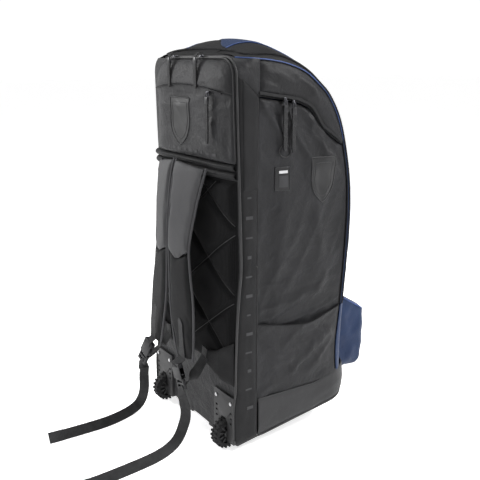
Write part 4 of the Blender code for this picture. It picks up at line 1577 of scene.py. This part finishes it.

# %% [markdown]
# The buckle's tongue can slide out of its socket. This webbing comes from the wing up to the tongue's
# lower bar.

# %% Anchor webbing
BUCKLES = {
    "right": ((0.0790, -0.0820, 0.1620), (0.2700, 0.1000, -0.9570)),
    "left": ((-0.0860, -0.0900, 0.1690), (-0.3200, -0.2600, -0.9100)),
}
for side, sign in SIDES:
    mouth, down = (Vector(part) for part in BUCKLES[side])
    start = Vector((0.0900 * sign, -0.0215, 0.2050))
    stop = mouth + down * 0.0180 + Vector((0.0, 0.0060, 0.0))
    route = []
    for i in range(19):
        t = i / 18
        place = start.lerp(stop, t) + Vector((0.0, 0.0, -0.0080 * math.sin(math.pi * t)))
        route.append((place.x, at(place.y), place.z))
    ups = [(0.0, 0.7, 0.7)] * len(route)
    band = ribbon("anchor_band_" + side, route, [WEBBING] * len(route), ups, WEBBING_THICK, webbing_cloth)
    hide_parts("anchor_webbing_" + side)
    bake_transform(band)
print("anchor webbing made")

# %% [markdown]
# The strap's lower end carries a sewn tab of webbing that loops through the top bar of the buckle.

# %% Strap end tabs
for side, sign in SIDES:
    mouth, down = (Vector(part) for part in BUCKLES[side])
    bar = mouth - down * 0.0330
    points = []
    for i in range(15):
        centre = strap_section(mix(STRAP.share_at(2, 0.300), 0.985, i / 14))[0]
        points.append(Vector((centre.x * sign, centre.y - 0.0010, centre.z)))
    points.append(Vector((bar.x, at(bar.y) - 0.0076, bar.z)))
    points.append(Vector((bar.x, at(bar.y) - 0.0070, bar.z)) + down * 0.0050)
    tab = ribbon("strap_tab_" + side, points, [0.004, 0.016] + [WEBBING] * (len(points) - 2),
                 [(0.0, -1.0, 0.0)] * len(points), WEBBING_THICK, webbing_cloth)
    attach(tab, "bag")
print("strap tabs made")

# %% [markdown]
# A short stretch of webbing runs between the buckle's ladder bar and the free tail.

# %% Tail tops
for side, _ in SIDES:
    mouth, down = (Vector(part) for part in BUCKLES[side])
    start = mouth + down * 0.0200 + Vector((0.0, -0.0046, 0.0))
    stop = Vector(TAIL_LINES[side][0])
    stop += (Vector(TAIL_LINES[side][1]) - stop).normalized() * 0.0030
    places = [start.lerp(stop, i / 8) for i in range(9)]
    ups = [Vector((0.0, -1.0, 0.0)).lerp(TAIL_FACE[side], i / 8) for i in range(9)]
    top = ribbon("tail_top_" + side, [(p.x, at(p.y), p.z) for p in places], [WEBBING * 0.98] * 9, ups,
                 WEBBING_THICK * 0.9, webbing_cloth)
    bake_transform(top)
print("tail tops made")


# %% [markdown]
# ## Buckles
# The buckle parts come from the frame, because they move and fit. Their look needs only rounded
# edges and the slight sheen of moulded acetal. A Bevel modifier on a merged copy does that.

# %% Softened copies of frame pieces
def softened(node, name, width, material, segments=2):
    """A copy of a CAD node with its corners rounded."""
    source = frame["nodes"][node]
    deselect()
    copy = source.copy()
    copy.data = source.data.copy()
    for key in list(copy.keys()):
        del copy[key]
    copy.parent = None
    copy.matrix_world = Matrix.Identity(4)
    copy.name = name
    copy.data.name = name
    bpy.context.scene.collection.objects.link(copy)
    make_active(copy)
    bpy.ops.object.mode_set(mode="EDIT")
    bpy.ops.mesh.select_all(action="SELECT")
    bpy.ops.mesh.remove_doubles(threshold=0.000001)
    bpy.ops.mesh.dissolve_limited(angle_limit=math.radians(1.0))
    bpy.ops.object.mode_set(mode="OBJECT")
    rounding = copy.modifiers.new("soft_edges", "BEVEL")
    rounding.width = width
    rounding.segments = segments
    rounding.limit_method = "ANGLE"
    rounding.angle_limit = math.radians(30)
    rounding.use_clamp_overlap = True
    apply_all(copy)
    copy.data.materials.clear()
    copy.data.materials.append(material)
    if not copy.data.uv_layers:
        copy.data.uv_layers.new(name="UVMap")
    return shade(copy, 40)


body_of = {node: body for body, nodes in frame["record"]["behaviour"]["bodies"].items() for node in nodes}


def dress(node, width, material, segments=2):
    piece = softened(node, node + "_dressed", width, material, segments)
    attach(piece, body_of[node])
    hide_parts(node)
    return piece


for side, _ in SIDES:
    dress("buckle_socket_" + side, 0.0016, buckle_plastic, segments=3)
    dress("buckle_tongue_" + side, 0.0010, buckle_plastic)
    for place in ("inner", "outer"):
        dress("buckle_prong_%s_%s" % (place, side), 0.0008, buckle_plastic)
print("buckles dressed")


# %% [markdown]
# ## Wheels and brackets
# The wheel's tyre has chunky blocks, like a small off-road tyre. One block is modelled and copied
# round the tyre, and the hub gets spokes. The axle and rivets are bright metal.

# %% Tyre blocks and spokes
def ring_of(name, block, centre, count, phase=0.0):
    """Copy a block round an axle that runs along X, and join the copies into one piece."""
    copies = []
    for i in range(count):
        make_active(block)
        bpy.ops.object.duplicate()
        copy = bpy.context.object
        turn = Matrix.Rotation(2.0 * math.pi * (i + phase) / count, 4, "X")
        copy.data.transform(Matrix.Translation(centre) @ turn)
        copies.append(copy)
    bpy.data.objects.remove(block)
    return joined(copies, name)


def block_at(size, place, bevel, material, segments=1):
    """A block with rounded edges."""
    deselect()
    bpy.ops.mesh.primitive_cube_add(size=1.0)
    block = bpy.context.object
    block.scale = size
    bpy.ops.object.transform_apply(location=False, rotation=False, scale=True)
    rounding = block.modifiers.new("soft_edges", "BEVEL")
    rounding.width = bevel
    rounding.segments = segments
    apply_all(block)
    block.data.transform(Matrix.Translation(place))
    block.data.materials.append(material)
    return shade(block, 40)


for side, _ in SIDES:
    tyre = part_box("wheel_tyre_" + side)
    centre = (tyre[0] + tyre[1]) * 0.5
    radius = (tyre[1].z - tyre[0].z) * 0.5
    half = (tyre[1].x - tyre[0].x) * 0.5
    body = "wheel_" + side
    casing = softened("wheel_tyre_" + side, "tyre_casing_" + side, 0.0010, tyre_rubber)
    shrink = Matrix.Translation(centre) @ Matrix.Diagonal((1.0, 0.93, 0.93, 1.0)) \
        @ Matrix.Translation(-centre)
    casing.data.transform(shrink)
    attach(casing, body)
    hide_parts("wheel_tyre_" + side)
    for label, x, phase in (("inner", -0.55, 0.0), ("outer", 0.55, 0.5)):
        block = block_at((half * 0.85, 0.0050, 0.0045), (x * half, 0.0, radius - 0.0023), 0.0007,
                         tyre_rubber)
        tread = ring_of("tyre_tread_%s_%s" % (label, side), block, centre, 20, phase)
        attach(tread, body)
    hub = dress("wheel_hub_" + side, 0.0006, hub_plastic)
    for way in (-1.0, 1.0):
        spoke = block_at((0.0060, 0.0030, 0.0130), (way * (half - 0.0035), 0.0, 0.0165), 0.0006,
                         hub_plastic)
        spokes = ring_of("hub_spokes_%s_%s" % ("outer" if way > 0 else "inner", side), spoke, centre, 10)
        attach(spokes, body)
    dress("wheel_axle_" + side, 0.0005, axle_steel)
    dress("skid_rail_" + side, 0.0015, bracket_plastic)
    for place in ("inner", "outer"):
        dress("bracket_rivet_%s_%s" % (place, side), 0.0006, rivet_steel, segments=3)
print("wheels dressed")

# %% [markdown]
# The bracket is one injection moulding. Two columns of short slots lighten its plate. Its edges are
# rounded first, and then the slots are cut with a Boolean.

# %% Brackets
for side, _ in SIDES:
    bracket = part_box("wheel_bracket_" + side)
    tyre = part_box("wheel_tyre_" + side)
    centre_x = (tyre[0].x + tyre[1].x) * 0.5
    piece = softened("wheel_bracket_" + side, "bracket_dressed_" + side, 0.0016, bracket_plastic)
    for column in (-0.0310, 0.0310):
        for row in range(3):
            deselect()
            bpy.ops.mesh.primitive_cylinder_add(
                vertices=16, radius=0.5, depth=1.0, rotation=(math.radians(90), 0.0, 0.0),
                location=(centre_x + column, bracket[0].y, 0.0940 - 0.0130 * row))
            slot = bpy.context.object
            slot.scale = (0.0090, 0.0050, 0.0080)
            bpy.ops.object.transform_apply(location=True, rotation=True, scale=True)
            hole = piece.modifiers.new("slot", "BOOLEAN")
            hole.operation = "DIFFERENCE"
            hole.object = slot
            apply_all(piece)
            bpy.data.objects.remove(slot)
    shade(piece, 35)
    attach(piece, "bag")
    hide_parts("wheel_bracket_" + side)
print("brackets dressed")


# %% [markdown]
# ## Zips
# A coil zip shows as a thin dark coil in a groove. The side pocket's zip follows its curve, under a
# narrow welt. A second coil runs under the arch of the back pocket.

# %% Zip coils
def side_zip(name):
    points = [ZIP(i / 70) for i in range(71)]
    return tube(name, [(HALF - 0.0008, at(p.x), p.y + 0.0008) for p in points], 0.0022, tape_cloth)


both_sides(side_zip, "side_zip_coil")


def zip_guard(name):
    """The narrow welt that covers the zip from above."""
    points = [ZIP(i / 60) for i in range(61)]
    places = [(HALF + 0.0042, at(p.x), p.y + 0.0062) for p in points]
    ups = [(1.0, 0.0, 0.25)] * len(places)
    return ribbon(name, places, [0.0070] * len(places), ups, 0.0012, gusset_cloth)


both_sides(zip_guard, "side_zip_welt")
back_coil = tube("back_zip_coil",
                 [(x, at(POCKET_FACE - 0.0005 + left_set(x, 0.800)), arch_height(x) - 0.0040)
                  for x in [mix(-0.154, 0.165, i / 50) for i in range(51)]], 0.0020, tape_cloth)
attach(back_coil, "bag")
print("zips made")


# %% [markdown]
# Each slider has a coated metal body and a long pull: a wire loop, a moulded collar and a tape.
# The slider rides on its own CAD body and the pull on its own, because the pull swings.

# %% Sliders and pulls
def collar_on(node, place, size):
    """The moulded collar over the top of a pull's tape."""
    collar = block_at(size, place, 0.0014, buckle_plastic, 2)
    collar.name = node + "_collar"
    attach(collar, body_of[node])


def pull_parts(node, faces_side):
    low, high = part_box(node)
    centre = (low + high) * 0.5
    wide = Vector((0.0, 1.0, 0.0)) if faces_side else Vector((1.0, 0.0, 0.0))
    loop = []
    for i in range(20):
        angle = 2.0 * math.pi * i / 20
        loop.append(centre + Vector((0.0, 0.0, high.z - centre.z - 0.0080 + 0.0080 * math.sin(angle)))
                    + wide * (0.0040 * math.cos(angle)))
    ring = tube(node + "_loop", loop, 0.0012, zip_metal, 2, True)
    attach(ring, body_of[node])
    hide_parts(node)
    collar_on(node, (centre.x, centre.y, high.z - 0.0185),
              (0.0052, 0.0120, 0.0150) if faces_side else (0.0120, 0.0052, 0.0150))
    points = [Vector((centre.x, centre.y, mix(high.z - 0.0200, low.z, i / 10))) for i in range(11)]
    up = (math.copysign(1.0, centre.x), 0.0, 0.0) if faces_side else (0.0, -1.0, 0.0)
    tape = ribbon(node + "_tape", points, [0.0100] * 10 + [0.0060], [up] * 11, 0.0034, pull_cloth)
    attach(tape, body_of[node])


def hanging_pull(node):
    """The flap's pull lies over the back edge and hangs down the pocket."""
    low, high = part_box(node)
    x = (low.x + high.x) * 0.5
    run = [(-0.0055, 0.8950), (-0.0130, 0.8946), (-0.0190, 0.8905), (-0.0216, 0.8830), (-0.0222, 0.8650),
           (-0.0222, 0.8400), (-0.0222, 0.8185)]
    points = [(x, at(depth), height) for depth, height in curve_through(run, 3)]
    ups = []
    for i, here in enumerate(points):
        before, after = Vector(points[max(i - 1, 0)]), Vector(points[min(i + 1, len(points) - 1)])
        along = (after - before).normalized()
        ups.append(Vector((0.0, along.z, -along.y)))
    tape = ribbon(node + "_tape", points, [0.0110] * (len(points) - 1) + [0.0070], ups, 0.0032, pull_cloth)
    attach(tape, body_of[node])
    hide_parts(node)
    collar_on(node, (x, at(-0.0216), 0.8790), (0.0130, 0.0056, 0.0140))


for side, _ in SIDES:
    for place in ("rear", "front"):
        dress("side_slider_%s_%s" % (place, side), 0.0012, zip_metal)
        pull_parts("side_pull_%s_%s" % (place, side), True)
    dress("flap_slider_" + side, 0.0012, zip_metal)
    hanging_pull("flap_pull_" + side)
dress("back_slider", 0.0012, zip_metal)
pull_parts("back_pull", False)
print("sliders and pulls made")

# %% [markdown]
# ## Haul handle
# The handle on the front is webbing with a padded sleeve round its middle.

# %% Haul handle
dress("haul_handle", 0.0012, webbing_cloth)
print("handle made")


# %% [markdown]
# ## Marks
# The real bag's marks are left out. Plain embossed shapes stand in their places: a blank shield, a
# ring, a label window and a column of short bars.

# %% Blank badges
def drop_on(objects, from_point, way):
    """Where a straight line from a point first meets any of the pieces."""
    best = None
    for obj in objects:
        hit, place, _, _ = obj.ray_cast(from_point, way)
        if hit and (best is None or (place - from_point).length < (best - from_point).length):
            best = place
    return best


def shield_half(t):
    """Half width of a plain shield at a share of its height, from its point up."""
    if t > 0.55:
        return 0.5 - 0.03 * math.sin(math.pi * (t - 0.55) / 0.45)
    return 0.5 * math.sin(0.5 * math.pi * (t / 0.55) ** 0.75)


def plain_half(t):
    return 0.5


def stuck_on(name, objects, centre, width, height, way, half_of, material, columns=16, rows=20,
             lift=0.0006):
    """A thin film laid on the cloth: a grid that takes the shape half_of gives and drops onto it."""
    way = Vector(way)
    wide = Vector((0.0, 1.0, 0.0)) if abs(way.x) > 0.5 else Vector((1.0, 0.0, 0.0))

    def place(u, v):
        share = u if way.x < -0.5 else 1.0 - u
        offset = (share * 2.0 - 1.0) * half_of(v) * width
        start = Vector(centre) + wide * offset + Vector((0.0, 0.0, (v - 0.5) * height)) - way * 0.1
        found = drop_on(objects, start, way)
        return (found if found else start + way * 0.1) - way * lift
    return panel(name, columns, rows, place, material, 0.0)


def outline_on(name, objects, centre, width, height, way, half_of, radius, material):
    """A thin raised rim round the same kind of shape."""
    steps = 28
    way = Vector(way)
    wide = Vector((0.0, 1.0, 0.0)) if abs(way.x) > 0.5 else Vector((1.0, 0.0, 0.0))
    round_trip = [(half_of(i / steps), i / steps) for i in range(steps + 1)]
    round_trip += [(half_of(1.0) * (1.0 - 2.0 * i / 8), 1.0) for i in range(1, 8)]
    round_trip += [(-half_of(1.0 - i / steps), 1.0 - i / steps) for i in range(steps)]
    places = []
    for share, v in round_trip:
        start = Vector(centre) + wide * (share * width) - way * 0.1
        start += Vector((0.0, 0.0, (v - 0.5) * height))
        places.append((drop_on(objects, start, way) or start + way * 0.1) - way * 0.0006)
    return tube(name, places, radius, material, 2, True)


bpy.context.view_layer.update()
back_mark = (-0.0250, at(-0.0180), 0.7420)
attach(stuck_on("back_shield", [pocket_cover], back_mark, 0.088, 0.104, (0, 1, 0), shield_half,
                 emboss_film), "bag")
for label, width, height, radius in (("rim", 0.092, 0.108, 0.0014), ("line", 0.072, 0.086, 0.0008)):
    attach(outline_on("back_shield_" + label, [pocket_cover], back_mark, width, height, (0, 1, 0),
                       shield_half, radius, thread_film), "bag")


def side_marks(side, sign):
    """The blank marks of one side panel and its gusset."""
    panels = [bpy.data.objects[n + "_" + side] for n in ("zipped_pocket_panel", "gusset_strip")]
    way = (-sign, 0.0, 0.0)

    def spot(depth, height):
        return (HALF * sign, at(depth), height)

    def ring(t):
        return math.sqrt(max(0.25 - (t - 0.5) ** 2, 0.0))

    shield, holder = spot(0.2340, 0.6130), spot(0.1210, 0.6230)
    marks = [
        (stuck_on, "side_shield_", shield, 0.066, 0.100, shield_half, (emboss_film,)),
        (outline_on, "side_shield_rim_", shield, 0.070, 0.104, shield_half, (0.0013, thread_film)),
        (outline_on, "side_shield_line_", shield, 0.050, 0.078, shield_half, (0.0008, thread_film)),
        (stuck_on, "label_holder_", holder, 0.034, 0.050, plain_half, (emboss_film, 6, 8, 0.0010)),
        (outline_on, "label_rim_", holder, 0.036, 0.052, plain_half, (0.0013, buckle_plastic)),
        (stuck_on, "label_bar_", spot(0.1230, 0.6390), 0.022, 0.006, plain_half, (bar_film, 4, 2, 0.0016)),
        (stuck_on, "label_window_", spot(0.1230, 0.6180), 0.022, 0.026, plain_half,
         (badge_film, 4, 5, 0.0016)),
        (outline_on, "round_mark_", spot(0.1280, 0.6850), 0.028, 0.028, ring, (0.0012, thread_film)),
    ]
    for i in range(12):
        marks.append((stuck_on, "gusset_bar_%02d_" % i,
                      spot(0.0330 + 0.0030 * math.sin(3.1 * i), 0.590 - 0.0440 * i),
                      0.017 if i % 3 else 0.010, 0.0075 if i % 2 else 0.0040, plain_half,
                      (badge_film, 4, 2, 0.0008)))
    for maker, name, centre, width, height, half_of, rest in marks:
        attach(maker(name + side, panels, centre, width, height, way, half_of, *rest), "bag")


for side, sign in SIDES:
    side_marks(side, sign)
for i in range(9):
    spot = (-0.0800 + 0.0260 * i, at(-0.0180), 0.6790)
    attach(stuck_on("back_bar_%d" % i, [pocket_cover], spot, 0.013 if i % 3 else 0.008, 0.0060, (0, 1, 0),
                     plain_half, badge_film, 4, 2, 0.0008), "bag")
print("marks made")
